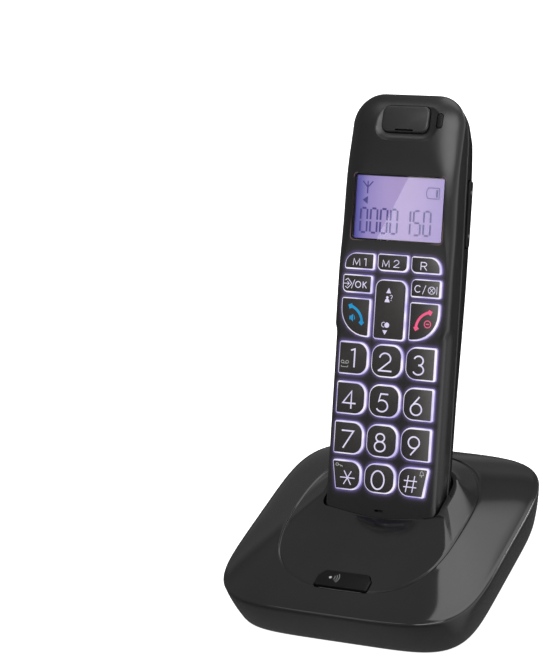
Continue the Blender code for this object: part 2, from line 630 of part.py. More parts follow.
def make_volume_rocker():
    """The two-way volume key on the handset's right edge, about its own pivot."""
    outer = half_width(VOLUME_V) + 0.7
    pivot = empty("volume_rocker_axis", (outer - 1.6, VOLUME_V, VOLUME_W), 0.0, HANDSET)
    outline = rectangle(VOLUME_HALF, 1.8, 1.4)
    bevelled(prism("volume_rocker", outline, -1.4, 1.6, pivot, KEY_GREY, "X"), 0.3)


def make_battery():
    """The battery door, the tray, two AAA cells and the contacts at their ends."""
    half, low, high = BAY_HALF - GAP, BAY_LOW + GAP, BAY_HIGH - GAP
    rings = []
    for k in range(9):
        v = low + (high - low) * k / 8
        back = between(BACK_PROFILE, v)
        rings.append([(-half, v, back), (half, v, back), (half, v, back + 1.5), (-half, v, back + 1.5)])
    door = loft("battery_door", rings, HANDSET, SHELL_BLACK)
    grips = bmesh.new()
    for k in range(3):
        v = high - 6.0 - 2.2 * k
        add_box(grips, (-6.0, v - 0.5, -27.0), (6.0, v + 0.5, between(BACK_PROFILE, v) + 0.5))
    boolean(door, finish(grips, "cut_door_grips", HANDSET, None))

    tray = box("battery_tray", (-12.4, 36.2, -16.8), (12.4, 91.8, -5.4), HANDSET, JACK_GREY)
    boolean(tray, box("cut_tray", (-11.2, 37.4, -20.0), (11.2, 90.6, -6.2), HANDSET, None))
    for side, u in (("left", -5.55), ("right", 5.55)):
        cell = cylinder(f"battery_cell_{side}", (0, 0), CELL_RADIUS, 0, CELL_LENGTH, HANDSET, CELL_GREEN, "Y",
                        at=(u, 40.6, CELL_W))
        nub = cylinder(f"cut_nub_{side}", (0, 0), 1.9, 40.0, CELL_LENGTH + 0.8, HANDSET, None, "Y", 16,
                       at=(u, 40.6, CELL_W))
        boolean(cell, nub, "UNION")
    box("battery_contact_plate", (-9.5, 86.8, -15.4), (9.5, 87.5, -8.0), HANDSET, STEEL)
    spring = box("battery_contact_springs", (-9.5, 37.7, -15.4), (9.5, 38.3, -8.0), HANDSET, STEEL)
    cones = bmesh.new()
    for u in (-5.55, 5.55):
        add_cylinder(cones, (u, CELL_W), 3.2, 38.0, 40.2, "Y", 14, 1.6)
    boolean(spring, finish(cones, "cut_springs", HANDSET, None), "UNION")


def make_handset():
    """Everything that lifts out with the handset."""
    front = make_front()
    make_earpiece(front)
    make_back()
    make_volume_rocker()
    make_battery()
    prism("display_lens", rectangle(WINDOW_HALF - GAP, (WINDOW_HIGH - WINDOW_LOW) / 2 - GAP, 1.0,
                                    (0, (WINDOW_HIGH + WINDOW_LOW) / 2)), -1.4, -0.4, HANDSET, LENS_SMOKE)
    box("display_module", (-20.4, 106.6, -3.8), (20.4, 134.4, -2.4), HANDSET, LCD_LAVENDER)
    mat_outline = rounded([(-20.6, 6.0, 3), (20.6, 6.0, 3), (20.6, 101.0, 2), (-20.6, 101.0, 2)])
    prism("keypad_mat", mat_outline, -3.8, -3.0, HANDSET, SILICONE)
    board_outline = rectangle(21.2, 69.0, 3.0, (0, 71.0))
    board = prism("handset_circuit_board", board_outline, -5.1, -4.1, HANDSET, BOARD_GREEN)
    notches = bmesh.new()
    for u, v in HANDSET_SCREWS:
        add_cylinder(notches, (u, v), 2.7, -7.0, -2.0, steps=14)
    boolean(board, finish(notches, "cut_handset_board", HANDSET, None))
    cylinder("ringer_speaker", (0, 139.0), 8.5, -17.5, -14.3, HANDSET, CONE_BLACK, steps=28)
    cylinder("microphone", (0, -0.2), 2.0, -3.8, -2.2, HANDSET, CONE_BLACK, steps=16)
    for side, u in zip(("left", "right"), CONTACT_SPOTS):
        box(f"handset_charge_pad_{side}", (u - 1.8, END_BOTTOM + 1.2, -9.1),
            (u + 1.8, END_BOTTOM + 2.8, -5.9), HANDSET, GOLD)


make_base()
make_handset()
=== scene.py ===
"""Looks of the cordless phone in its charging base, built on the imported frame.

Lengths are in millimetres in the code and become metres where a mesh is made. H places the
handset's own coordinates (u across, v up along the handset, w out of its face) in the row frame,
B those of the base, P those of the page button.
"""

import contextlib
import math

import bmesh
import bpy
import numpy as np
from mathutils import Matrix, Vector


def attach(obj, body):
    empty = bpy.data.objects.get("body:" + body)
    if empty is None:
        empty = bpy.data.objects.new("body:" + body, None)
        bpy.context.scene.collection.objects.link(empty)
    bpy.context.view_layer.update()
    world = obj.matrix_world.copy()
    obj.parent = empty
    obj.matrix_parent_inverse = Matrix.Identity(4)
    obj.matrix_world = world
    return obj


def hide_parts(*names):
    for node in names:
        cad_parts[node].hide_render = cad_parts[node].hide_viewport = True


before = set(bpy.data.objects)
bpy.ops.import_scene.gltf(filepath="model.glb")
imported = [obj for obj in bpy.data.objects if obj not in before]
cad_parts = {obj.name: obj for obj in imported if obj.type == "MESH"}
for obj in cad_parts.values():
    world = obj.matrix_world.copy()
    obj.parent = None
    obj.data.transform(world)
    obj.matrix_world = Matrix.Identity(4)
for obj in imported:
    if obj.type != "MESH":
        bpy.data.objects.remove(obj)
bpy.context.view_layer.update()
scene = bpy.context.scene

MM = 0.001
GAP = 0.3
LEAN = math.radians(31.5)
BASE_Y = -20.7
B = Matrix.Translation((0, BASE_Y * MM, 0))
H = Matrix.Translation((0, (BASE_Y - 0.1) * MM, 27.4 * MM)) @ Matrix.Rotation(math.pi / 2 - LEAN, 4, "X")
TILT = math.atan2(4.5, 41.6)
P = B @ Matrix.Translation((0, -37.8 * MM, 21.6 * MM)) @ Matrix.Rotation(TILT, 4, "X")
HERE = Matrix()


# ---- materials


def new_material(name):
    made = bpy.data.materials.new(name)
    made.use_nodes = True
    tree = made.node_tree
    return made, tree, tree.nodes["Principled BSDF"]


def noise(tree, scale, detail=2.0):
    """The value socket of a noise texture in the piece's own coordinates."""
    place = tree.nodes.new("ShaderNodeTexCoord")
    made = tree.nodes.new("ShaderNodeTexNoise")
    made.inputs["Scale"].default_value = scale
    made.inputs["Detail"].default_value = detail
    tree.links.new(place.outputs["Object"], made.inputs["Vector"])
    return made.outputs["Fac"]


def own_place(tree):
    """The sockets X, Y and Z of a piece's own 0..1 coordinates, or of a world's directions."""
    place = tree.nodes.new("ShaderNodeTexCoord")
    parts = tree.nodes.new("ShaderNodeSeparateXYZ")
    tree.links.new(place.outputs["Generated"], parts.inputs["Vector"])
    return parts.outputs


def ramp(tree, value, stops):
    """A colour ramp of (position, colour) stops read at value."""
    made = tree.nodes.new("ShaderNodeValToRGB")
    band = made.color_ramp
    while len(band.elements) < len(stops):
        band.elements.new(0.5)
    for element, (position, colour) in zip(band.elements, stops):
        element.position = position
        element.color = (*colour, 1.0)
    tree.links.new(value, made.inputs["Fac"])
    return made


def spread(tree, value, low, high):
    """Maps 0..1 to low..high."""
    made = tree.nodes.new("ShaderNodeMapRange")
    made.inputs["To Min"].default_value = low
    made.inputs["To Max"].default_value = high
    tree.links.new(value, made.inputs["Value"])
    return made.outputs["Result"]


def bump(tree, shader, height, strength, distance):
    """Roughens the shader's normal by a height."""
    made = tree.nodes.new("ShaderNodeBump")
    made.inputs["Strength"].default_value = strength
    made.inputs["Distance"].default_value = distance
    tree.links.new(height, made.inputs["Height"])
    tree.links.new(made.outputs["Normal"], shader.inputs["Normal"])


def plastic(name, colour, rough, grain=2600, strength=0.05, specular=0.5, metallic=0.0):
    """Moulded plastic or plated metal: faint cloudiness, uneven gloss and a fine grain."""
    made, tree, shader = new_material(name)
    darker, lighter = (tuple(c * share for c in colour) for share in (0.88, 1.12))
    shade = ramp(tree, noise(tree, 45, 4), [(0.3, darker), (0.7, lighter)])
    tree.links.new(shade.outputs["Color"], shader.inputs["Base Color"])
    tree.links.new(spread(tree, noise(tree, 300, 3), rough * 0.9, rough * 1.1), shader.inputs["Roughness"])
    bump(tree, shader, noise(tree, grain, 2), strength, 0.0001)
    shader.inputs["Specular IOR Level"].default_value = specular
    shader.inputs["Metallic"].default_value = metallic
    return made


def glow(name, colour, strength, second):
    """A lit translucent piece, whose colour drifts between two tints."""
    made, tree, shader = new_material(name)
    shader.inputs["Base Color"].default_value = (*(c * 0.2 for c in colour), 1.0)
    shader.inputs["Roughness"].default_value = 0.35
    tint = ramp(tree, noise(tree, 140, 1), [(0.38, colour), (0.62, second)])
    tree.links.new(tint.outputs["Color"], shader.inputs["Emission Color"])
    shader.inputs["Emission Strength"].default_value = strength
    return made


BASE_BLACK = plastic("base_black", (0.009, 0.009, 0.0091), 0.08, strength=0.012, specular=0.5)
REAR_BLACK = plastic("rear_black", (0.0025, 0.0025, 0.0026), 0.34, strength=0.04, specular=0.12)
PAD_BLACK = plastic("pad_black", (0.01, 0.01, 0.01), 0.34, strength=0.03)
KEY_CAP = plastic("key_cap", (0.021, 0.019, 0.018), 0.36, strength=0.04)
ROCKER_BLACK = plastic("rocker_black", (0.003, 0.003, 0.0031), 0.3, strength=0.03, specular=0.15)
BOARD = plastic("board_green", (0.02, 0.14, 0.05), 0.45, grain=900, strength=0.1)
STEEL = plastic("plated_steel", (0.55, 0.55, 0.56), 0.28, metallic=1.0)
GOLD = plastic("contact_gold", (0.8, 0.58, 0.24), 0.25, metallic=1.0)
RUBBER = plastic("foot_rubber", (0.025, 0.025, 0.025), 0.8, strength=0.2)
JACK = plastic("jack_grey", (0.06, 0.06, 0.063), 0.5)
CELL = plastic("cell_sleeve", (0.03, 0.2, 0.09), 0.3)
CONE = plastic("speaker_black", (0.02, 0.02, 0.02), 0.6, strength=0.15)
MASK = plastic("display_mask", (0.003, 0.002, 0.006), 0.4, specular=0.2)
LIGHT_PIPE = plastic("light_pipe", (0.003, 0.003, 0.0033), 0.4, strength=0.02, specular=0.25)
# The key rims glow with the keypad's backlight; the whiter patches in that glow are painted highlights.
LIT_RIM_AND_PAINTED_HIGHLIGHT = glow("key_rim", (0.95, 0.88, 1.0), 0.8, (0.5, 0.44, 0.85))
WALL_GLOW = glow("key_wall", (0.5, 0.42, 0.82), 0.6, (0.3, 0.24, 0.62))
MAT_GLOW = glow("keypad_mat", (0.22, 0.16, 0.85), 0.2, (0.3, 0.22, 0.95))
LEGEND = glow("legend", (0.72, 0.68, 0.86), 0.85, (0.62, 0.57, 0.8))
SIGN = glow("small_legend", (0.55, 0.55, 0.55), 0.6, (0.45, 0.45, 0.46))
BLUE = glow("talk_blue", (0.0, 0.27, 0.56), 0.85, (0.0, 0.22, 0.5))
PINK = glow("end_pink", (0.85, 0.1, 0.24), 0.85, (0.75, 0.08, 0.2))
SEGMENT = glow("segment", (0.05, 0.04, 0.22), 0.85, (0.07, 0.055, 0.26))
# A faint tan and pink glow that paints the glint of light along the window's edge.
PAINTED_LENS_GLINT = glow("painted_lens_glint", (0.16, 0.1, 0.1), 0.6, (0.12, 0.06, 0.1))
BUTTON = plastic("button_black", (0.004, 0.004, 0.0042), 0.34, strength=0.03, specular=0.15)
# A lighter grey that paints the glints on the parting line and on the volume key's dots.
GLINT_GREY = plastic("painted_glint_grey", (0.06, 0.06, 0.061), 0.3, strength=0.02)


def shell_with_halo():
    """The front shell's plastic, with the light that spills on it round the keys."""
    made = plastic("front_black", (0.0055, 0.0055, 0.0057), 0.3, strength=0.03)
    tree = made.node_tree
    shader = tree.nodes["Principled BSDF"]
    spill = tree.nodes.new("ShaderNodeAttribute")
    spill.attribute_name = "spill"
    shade = ramp(tree, spill.outputs["Fac"],
                 [(0.0, (0, 0, 0)), (0.2, (0.01, 0.006, 0.012)), (0.6, (0.045, 0.035, 0.085)),
                  (1.0, (0.13, 0.1, 0.3))])
    tree.links.new(shade.outputs["Color"], shader.inputs["Emission Color"])
    shader.inputs["Emission Strength"].default_value = 1.0
    return made


def lcd_material():
    """Back-lit lavender, bluer on the left and pinker on the right; its left edge is darkened by painted
    shade of the window's left wall.
    """
    made, tree, shader = new_material("lcd_glow_and_painted_shade")
    shade = ramp(tree, own_place(tree)["X"],
                 [(0.04, (0.05, 0.045, 0.3)), (0.08, (0.1, 0.09, 0.36)), (0.16, (0.26, 0.21, 0.5)),
                  (0.35, (0.35, 0.27, 0.54)), (0.6, (0.36, 0.27, 0.52)), (1.0, (0.26, 0.19, 0.48))])
    tree.links.new(shade.outputs["Color"], shader.inputs["Emission Color"])
    shader.inputs["Base Color"].default_value = (0.05, 0.045, 0.08, 1)
    shader.inputs["Emission Strength"].default_value = 1.0
    shader.inputs["Roughness"].default_value = 0.5
    return made


def lens_material():
    """Clear hard acrylic."""
    made, tree, shader = new_material("clear_lens")
    shader.inputs["Base Color"].default_value = (1, 1, 1, 1)
    tree.links.new(spread(tree, noise(tree, 200, 2), 0.0, 0.01), shader.inputs["Roughness"])
    shader.inputs["Transmission Weight"].default_value = 1.0
    shader.inputs["IOR"].default_value = 1.47
    return made


def cap_with_painted_highlight():
    """A key top painted a lighter grey towards its right side: a painted highlight."""
    made = plastic("key_cap_painted_highlight", (0.021, 0.019, 0.018), 0.36, strength=0.04)
    tree = made.node_tree
    shader = tree.nodes["Principled BSDF"]
    shade = ramp(tree, own_place(tree)["X"],
                 [(0.1, (0.018, 0.016, 0.016)), (0.5, (0.03, 0.028, 0.027)),
                  (1.0, (0.075, 0.071, 0.068))])
    tree.links.new(shade.outputs["Color"], shader.inputs["Base Color"])
    return made


FRONT_BLACK = shell_with_halo()
KEY_CAP_PAINTED_HIGHLIGHT = cap_with_painted_highlight()
LCD = lcd_material()
LENS = lens_material()


# ---- helpers


def finish(bm, name, matrix, look=None, sharp=30):
    """Writes bm, in millimetres, as an object in the row frame."""
    bmesh.ops.recalc_face_normals(bm, faces=bm.faces)
    bm.transform(matrix @ Matrix.Diagonal((MM, MM, MM, 1.0)))
    mesh = bpy.data.meshes.new(name)
    bm.to_mesh(mesh)
    bm.free()
    made = bpy.data.objects.new(name, mesh)
    scene.collection.objects.link(made)
    if look:
        mesh.materials.append(look)
    mesh.shade_smooth()
    mesh.set_sharp_from_angle(angle=math.radians(sharp))
    return made


def cut(target, cutters, sharp=30):
    """Takes the cutters from target and leaves it a plain mesh."""
    for cutter in cutters:
        modifier = target.modifiers.new("cut", "BOOLEAN")
        modifier.object = cutter
        modifier.operation = "DIFFERENCE"
        modifier.solver = "EXACT"
    graph = bpy.context.evaluated_depsgraph_get()
    mesh = bpy.data.meshes.new_from_object(target.evaluated_get(graph))
    target.modifiers.clear()
    target.data = mesh
    for cutter in cutters:
        bpy.data.objects.remove(cutter)
    mesh.shade_smooth()
    mesh.set_sharp_from_angle(angle=math.radians(sharp))


def put(obj, body, slot, *nodes):
    """Rides obj on a body and hides the CAD nodes it stands for; slot is not used."""
    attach(obj, body)
    if nodes:
        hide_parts(*nodes)
    return obj


def prisms(name, shapes, matrix, axis="Z", look=None):
    """One mesh of several prisms (outline, low, high), which run along Z or Y."""
    bm = bmesh.new()
    for outline, low, high in shapes:
        ring = [(a, b, low) if axis == "Z" else (a, low, b) for a, b in outline]
        face = bm.faces.new([bm.verts.new(point) for point in ring])
        moved = bmesh.ops.extrude_face_region(bm, geom=[face])["geom"]
        step = (0, 0, high - low) if axis == "Z" else (0, high - low, 0)
        bmesh.ops.translate(bm, vec=step, verts=[v for v in moved if isinstance(v, bmesh.types.BMVert)])
    return finish(bm, name, matrix, look)


def stack(bm, outlines, close=True):
    """Skins rings of equally many 3-D points."""
    loops = [[bm.verts.new(point) for point in ring] for ring in outlines]
    for one, other in zip(loops, loops[1:]):
        for i in range(len(one)):
            j = (i + 1) % len(one)
            bm.faces.new((one[i], one[j], other[j], other[i]))
    if close:
        bm.faces.new(loops[0])
        bm.faces.new(loops[-1])
    return loops


def skin(name, outlines, matrix, look=None, sharp=30, close=True):
    """One mesh skinned over rings of points."""
    bm = bmesh.new()
    stack(bm, outlines, close)
    return finish(bm, name, matrix, look, sharp)


def rounded(corners, steps=8):
    """The points of a polygon, counter-clockwise, whose corners (x, y, radius) are arcs."""
    points = []
    for i, (x, y, radius) in enumerate(corners):
        here = Vector((x, y))
        back = (Vector(corners[i - 1][:2]) - here).normalized()
        ahead = (Vector(corners[(i + 1) % len(corners)][:2]) - here).normalized()
        radius = max(radius, 0.02)
        half = back.angle(ahead) / 2
        centre = here + (back + ahead).normalized() * (radius / math.sin(half))
        start = here + back * (radius / math.tan(half)) - centre
        sweep = math.pi - 2 * half
        for k in range(steps + 1):
            turn = sweep * k / steps
            points.append((centre.x + start.x * math.cos(turn) - start.y * math.sin(turn),
                           centre.y + start.x * math.sin(turn) + start.y * math.cos(turn)))
    return points


def rectangle(half_x, half_y, radius, centre=(0, 0), steps=8):
    cx, cy = centre
    return rounded([(cx - half_x, cy - half_y, radius), (cx + half_x, cy - half_y, radius),
                    (cx + half_x, cy + half_y, radius), (cx - half_x, cy + half_y, radius)], steps)


def circle(cx, cy, radius, steps=24):
    turns = [math.tau * k / steps for k in range(steps)]
    return [(cx + radius * math.cos(turn), cy + radius * math.sin(turn)) for turn in turns]


def oval(half_x, half_y, power, centre_y, steps):
    """Points of a superellipse, evenly spread in angle."""
    points = []
    for i in range(steps):
        c, s = math.cos(math.tau * i / steps), math.sin(math.tau * i / steps)
        reach = ((abs(c) / half_x) ** power + (abs(s) / half_y) ** power) ** (-1 / power)
        points.append((reach * c, centre_y + reach * s))
    return points


def smooth(t):
    t = min(1.0, max(0.0, t))
    return t * t * (3 - 2 * t)


def spline(table, at):
    """A smooth curve through a table of (at, value)."""
    for i, ((x0, y0), (x1, y1)) in enumerate(zip(table, table[1:])):
        if at > x1 and i < len(table) - 2:
            continue
        before = table[i - 1] if i else (2 * x0 - x1, 2 * y0 - y1)
        after = table[i + 2] if i < len(table) - 2 else (2 * x1 - x0, 2 * y1 - y0)
        m0 = (y1 - before[1]) / (x1 - before[0])
        m1 = (after[1] - y0) / (after[0] - x0)
        h = x1 - x0
        t = min(1.0, max(0.0, (at - x0) / h))
        return ((2 * t**3 - 3 * t**2 + 1) * y0 + (t**3 - 2 * t**2 + t) * h * m0
                + (3 * t**2 - 2 * t**3) * y1 + (t**3 - t**2) * h * m1)
    return table[-1][1]


# ---- base

RIM_HALF, RIM_POWER, RIM_HEIGHT = (55.0, 55.3), 4.75, 18.8
FOOTPRINT_HALF, FOOTPRINT_POWER, SKIRT_BOTTOM = (50.5, 49.9), 5.5, 0.5
CREASE_HALF, CREASE_POWER = (36.3, 42.6), 2.8
MOUTH_HALF, MOUTH_CENTRE_Y, MOUTH_POWER = (27.0, 15.2), 12.8, 3.6
LIP_FRONT = 25.3
GROOVE = ((0.55, 0.0), (0.45, 0.03), (0.14, 0.24), (0.0, 0.27), (-0.14, 0.23), (-0.45, 0.0), (-0.6, -0.04))
RIM_RADIUS = 0.9
BASE_WALL = 1.8


def crease_height(y):
    front = -min(0.0, y) / CREASE_HALF[1]
    return 25.3 - 4.3 * front ** 1.7


def lip_height(x, y):
    side = (x / MOUTH_HALF[0]) ** 2
    back = smooth((y - 8.0) / 20.0) * (1 - 0.8 * side)
    return LIP_FRONT + 3.4 * side + 8.0 * back


def base_rings(inset, steps, fine):
    """Rings of the base from its lower edge, over the rim and the groove, to the pocket's mouth."""
    rings = []
    count = 10 if fine else 3
    for k in range(count + 1):
        share = k / count
        bulge = 1.4 * share * (1 - share)
        halves = [foot + (rim - foot) * share + bulge - inset for foot, rim in zip(FOOTPRINT_HALF, RIM_HALF)]
        power = FOOTPRINT_POWER + (RIM_POWER - FOOTPRINT_POWER) * share
        height = SKIRT_BOTTOM + (RIM_HEIGHT - RIM_RADIUS - inset - SKIRT_BOTTOM) * share
        if k == 0 and fine:
            rings.append([(x, y, height) for x, y in oval(halves[0] - 0.5, halves[1] - 0.5, power, 0, steps)])
            height += 0.4
        rings.append([(x, y, height) for x, y in oval(*halves, power, 0, steps)])
    top = RIM_HEIGHT - inset
    if fine:
        for turn in (12, 26, 42, 60, 78):
            a = math.radians(turn)
            out, drop = RIM_RADIUS * (1 - math.cos(a)), RIM_RADIUS * (1 - math.sin(a))
            halves = [half - inset - out for half in RIM_HALF]
            rings.append([(x, y, top - drop) for x, y in oval(*halves, RIM_POWER, 0, steps)])
    edge = oval(*(half - inset - RIM_RADIUS for half in RIM_HALF), RIM_POWER, 0, steps)
    rings.append([(x, y, top) for x, y in edge])
    crease = oval(*CREASE_HALF, CREASE_POWER, 0, steps)
    count = 20 if fine else 3
    for k in range(1, count):
        share = k / count
        # The deck falls away more steeply beside the rim.
        shoulder = 0.35 * (1 - (1 - share) ** 7) * (1 - share)
        ring = []
        for (x0, y0), (x1, y1) in zip(edge, crease):
            rise = (crease_height(y1) - RIM_HEIGHT) * (1 - (1 - share) ** 1.12) + shoulder
            ring.append((x0 + (x1 - x0) * share, y0 + (y1 - y0) * share, top + rise))
        rings.append(ring)
    for out, deep in GROOVE if fine else ((0.0, 0.0),):
        around = oval(CREASE_HALF[0] + out, CREASE_HALF[1] + out, CREASE_POWER, 0, steps)
        rings.append([(x, y, crease_height(y) - inset - deep) for x, y in around])
    mouth = oval(*MOUTH_HALF, MOUTH_POWER, MOUTH_CENTRE_Y, steps)
    count = 16 if fine else 4
    for k in range(1, count + 1):
        share = k / count
        ring = []
        for i in range(steps):
            (x0, y0), (x1, y1) = crease[i], mouth[i]
            rise = (lip_height(x1, y1) - crease_height(y0)) * share
            ring.append((x0 + (x1 - x0) * share, y0 + (y1 - y0) * share, crease_height(y0) - inset + rise))
        rings.append(ring)
    if fine:
        last = rings[-1]
        rings.append([(x * 0.97, MOUTH_CENTRE_Y + (y - MOUTH_CENTRE_Y) * 0.97, z + 0.05) for x, y, z in last])
    return rings


def base_solid(name, inset, steps, fine, peak, look=None):
    bm = bmesh.new()
    loops = stack(bm, base_rings(inset, steps, fine), False)
    bm.faces.new(loops[0])
    tip = bm.verts.new((0, MOUTH_CENTRE_Y, peak))
    for i in range(steps):
        bm.faces.new((loops[-1][i], loops[-1][(i + 1) % steps], tip))
    return finish(bm, name, B, look, 25)


def pocket(grow):
    """The lower handset's section, grown on every side."""
    half = 24.6 + grow
    back = -19.0 * 30 / 35 - 16.8 * 5 / 35 - grow
    return rounded([(-half, back, 5.5), (half, back, 5.5), (half, grow, 2.6), (-half, grow, 2.6)], 6)


PAGE_HALF = (11.3, 4.2)
PAGE_OUTLINE = ((-11.3, -4.2, 1.0), (11.3, -4.2, 1.0), (11.3, 0.8, 1.6), (9.2, 4.2, 1.6), (-9.2, 4.2, 1.6),
                (-11.3, 0.8, 1.6))
PAGE_MARK_W = 0.92
POCKET_FLOOR = -9.4
CONTACT_U, CONTACT_W = (-9.0, 9.0), (-9.4, -5.6)


def make_base():
    shell = base_solid("base_housing", 0, 216, True, LIP_FRONT + 5, BASE_BLACK)
    hollow = base_solid("cut_hollow", BASE_WALL, 48, False, LIP_FRONT + 3)
    cut(hollow, [prisms("cut_tub", [(pocket(0.5 + BASE_WALL), POCKET_FLOOR - BASE_WALL, 60)], H, "Y")])
    well = prisms("cut_pocket", [(pocket(0.5), POCKET_FLOOR, 80)], H, "Y")
    jacks = prisms("cut_jacks", [(circle(-22.0, 11.0, 4.6, 32), 45.0, 60.0),
                                 (rectangle(6.0, 4.9, 0.4, (20.0, 11.0), 3), 45.0, 60.0)], B, "Y")
    long, short = PAGE_HALF
    grown = [(x * (1 + GAP / long), y * (1 + GAP / short)) for x, y in rounded(PAGE_OUTLINE, 4)]
    button_hole = prisms("cut_button", [(grown, -4.4, 3.0)], P)
    slots = prisms("cut_slots", [(rectangle(1.9, 3.5, 0.1, (u, -11.5), 2), *CONTACT_W) for u in CONTACT_U], H)
    cut(shell, [hollow, well, jacks, button_hole, slots], 24)
    put(shell, "base", "shell_black", "base_top_shell")

    outline = rounded(PAGE_OUTLINE, 6)
    levels = [(0.0, -3.2), (0.0, 0.35)]
    levels += [(0.5 * (1 - math.cos(a)), 0.4 + 0.5 * math.sin(a)) for a in (0.0, 0.4, 0.8, 1.2, 1.57)]
    rings = [[(x * (1 - inset / long), y * (1 - inset / short), w) for x, y in outline]
             for inset, w in levels]
    put(skin("page_key", rings, P, BUTTON), "page_button", "shell_black", "page_button")
    bm = bmesh.new()
    patch(bm, circle(-5.6, 0.2, 0.6), PAGE_MARK_W)
    for radius in (1.5, 2.4, 3.3):
        ribbon(bm, arc(-5.2, 0.2, radius, radius, -40, 40), 0.16, PAGE_MARK_W)
    put(finish(bm, "page_mark", P, SIGN), "page_button", "key_grey")


# ---- flat drawing


KEY_TOP, KEY_BOTTOM = 1.2, -2.0
LEGEND_W = KEY_TOP + 0.012


def ribbon(bm, points, width, w=LEGEND_W, closed=False):
    """A flat stroke of even width along points, which lies just over the key tops unless w is given."""
    count = len(points)
    left, right = [], []
    for i, (x, y) in enumerate(points):
        before = points[i - 1] if i or closed else None
        after = points[(i + 1) % count] if i < count - 1 or closed else None
        ways = []
        if before:
            ways.append(Vector((x - before[0], y - before[1])).normalized())
        if after:
            ways.append(Vector((after[0] - x, after[1] - y)).normalized())
        way = sum(ways, Vector((0, 0))).normalized()
        side = Vector((-way.y, way.x))
        miter = min(2.0, 1 / max(0.3, side.dot(Vector((-ways[0].y, ways[0].x)))))
        left.append(bm.verts.new((x + side.x * width / 2 * miter, y + side.y * width / 2 * miter, w)))
        right.append(bm.verts.new((x - side.x * width / 2 * miter, y - side.y * width / 2 * miter, w)))
    for i in range(count if closed else count - 1):
        j = (i + 1) % count
        bm.faces.new((right[i], right[j], left[j], left[i]))


def patch(bm, outline, w=LEGEND_W):
    """A flat filled outline."""
    bm.faces.new([bm.verts.new((x, y, w)) for x, y in outline])


def arc(cx, cy, rx, ry, start, end, steps=20):
    """Points on an ellipse from start to end degrees."""
    return [(cx + rx * math.cos(math.radians(start + (end - start) * k / steps)),
             cy + ry * math.sin(math.radians(start + (end - start) * k / steps))) for k in range(steps + 1)]


GLYPHS = {
    "0": [arc(0, 0, 0.36, 0.5, 0, 360, 40)],
    "1": [[(-0.18, 0.42), (0.04, 0.5), (0.04, -0.5)]],
    "2": [arc(0, 0.21, 0.31, 0.29, 175, -30, 22) + [(-0.36, -0.48)], [(-0.38, -0.46), (0.4, -0.46)]],
    "3": [arc(-0.02, 0.25, 0.26, 0.25, 160, -90, 18), arc(-0.02, -0.24, 0.3, 0.26, 90, -155, 22)],
    "4": [[(0.12, -0.5), (0.12, 0.46), (-0.36, -0.2), (0.38, -0.2)]],
    "5": [[(0.3, 0.47), (-0.12, 0.47), (-0.22, 0.06)] + arc(-0.03, -0.18, 0.33, 0.31, 120, -150, 24)],
    "6": [arc(0, -0.19, 0.31, 0.31, 0, 360, 32), [(-0.27, -0.04), (0.16, 0.5)]],
    "7": [[(-0.32, 0.46), (0.36, 0.46), (-0.2, -0.5)]],
    "8": [arc(0, 0.26, 0.24, 0.22, 0, 360, 28), arc(0, -0.22, 0.3, 0.27, 0, 360, 32)],
    "9": [arc(0, 0.19, 0.31, 0.31, 0, 360, 32), [(0.27, 0.04), (-0.16, -0.5)]],
    "*": [[(-0.42, 0.0), (0.42, 0.0)], [(-0.21, -0.37), (0.21, 0.37)], [(-0.21, 0.37), (0.21, -0.37)]],
    "#": [[(-0.24, -0.46), (-0.12, 0.46)], [(0.12, -0.46), (0.24, 0.46)], [(-0.38, -0.17), (0.36, -0.17)],
          [(-0.36, 0.17), (0.38, 0.17)]],
    "M": [[(-0.36, -0.5), (-0.3, 0.46), (0.0, -0.36), (0.3, 0.46), (0.36, -0.5)]],
    "R": [[(-0.26, -0.5), (-0.26, 0.46), (0.04, 0.46)] + arc(0.04, 0.22, 0.23, 0.24, 90, -90, 12)
          + [(-0.24, -0.02)], [(0.02, -0.02), (0.3, -0.5)]],
    "C": [arc(0.04, 0, 0.42, 0.46, 42, 318, 26)],
    "O": [arc(0, 0, 0.42, 0.46, 0, 360, 30)],
    "K": [[(-0.24, -0.5), (-0.24, 0.5)], [(0.3, 0.48), (-0.22, -0.02)], [(-0.1, 0.1), (0.34, -0.5)]],
    "/": [[(-0.2, -0.55), (0.2, 0.55)]],
}


def write(bm, glyph, centre, height, width, squeeze=1.0):
    """Draws one glyph about centre, just over the key tops."""
    for stroke in GLYPHS[glyph]:
        points = [(centre[0] + x * height * squeeze, centre[1] + y * height) for x, y in stroke]
        ribbon(bm, points, width)


# ---- handset

HALF_WIDTH, HALF_WIDTH_TOP = 24.6, 24.0
END_TOP, END_BOTTOM = 165.2, -9.0
CORNERS = ((END_TOP, 12.4, 1), (END_BOTTOM, 6.0, -1))
FACE_FLAT_TO, FACE_SWEEP = 130.0, 260.0
PARTING, WALL = -11.0, 1.8
BACK_PROFILE = (
    (-9.0, -12.6), (-6.5, -15.4), (0.0, -16.8), (35.0, -19.0), (70.0, -21.0), (100.0, -22.2),
    (130.0, -22.2), (146.0, -20.8), (153.0, -18.0), (159.0, -14.6), (162.6, -12.8), (165.2, -12.2),
)
WINDOW_HALF, WINDOW_LOW, WINDOW_HIGH = 19.5, 107.0, 133.2
WINDOW_V, WINDOW_HALF_V = (WINDOW_HIGH + WINDOW_LOW) / 2, (WINDOW_HIGH - WINDOW_LOW) / 2
EARPIECE_V = 155.4
PAD_HALF, CALL_LIGHT_HALF, CALL_LIGHT_PLACE = (10.0, 5.4), (1.1, 2.9), (14.4, -0.1)
VOLUME_V, VOLUME_HALF, VOLUME_W = 119.3, 13.3, -14.6
SCREWS = ((-19.6, 104.4), (19.6, 104.4))
BEHIND = -27.0
SHARP, ROUND = 1.0, 4.6
ROWS = ((53.1, 66.3), (37.2, 50.3), (21.3, 34.5), (7.0, 18.9))
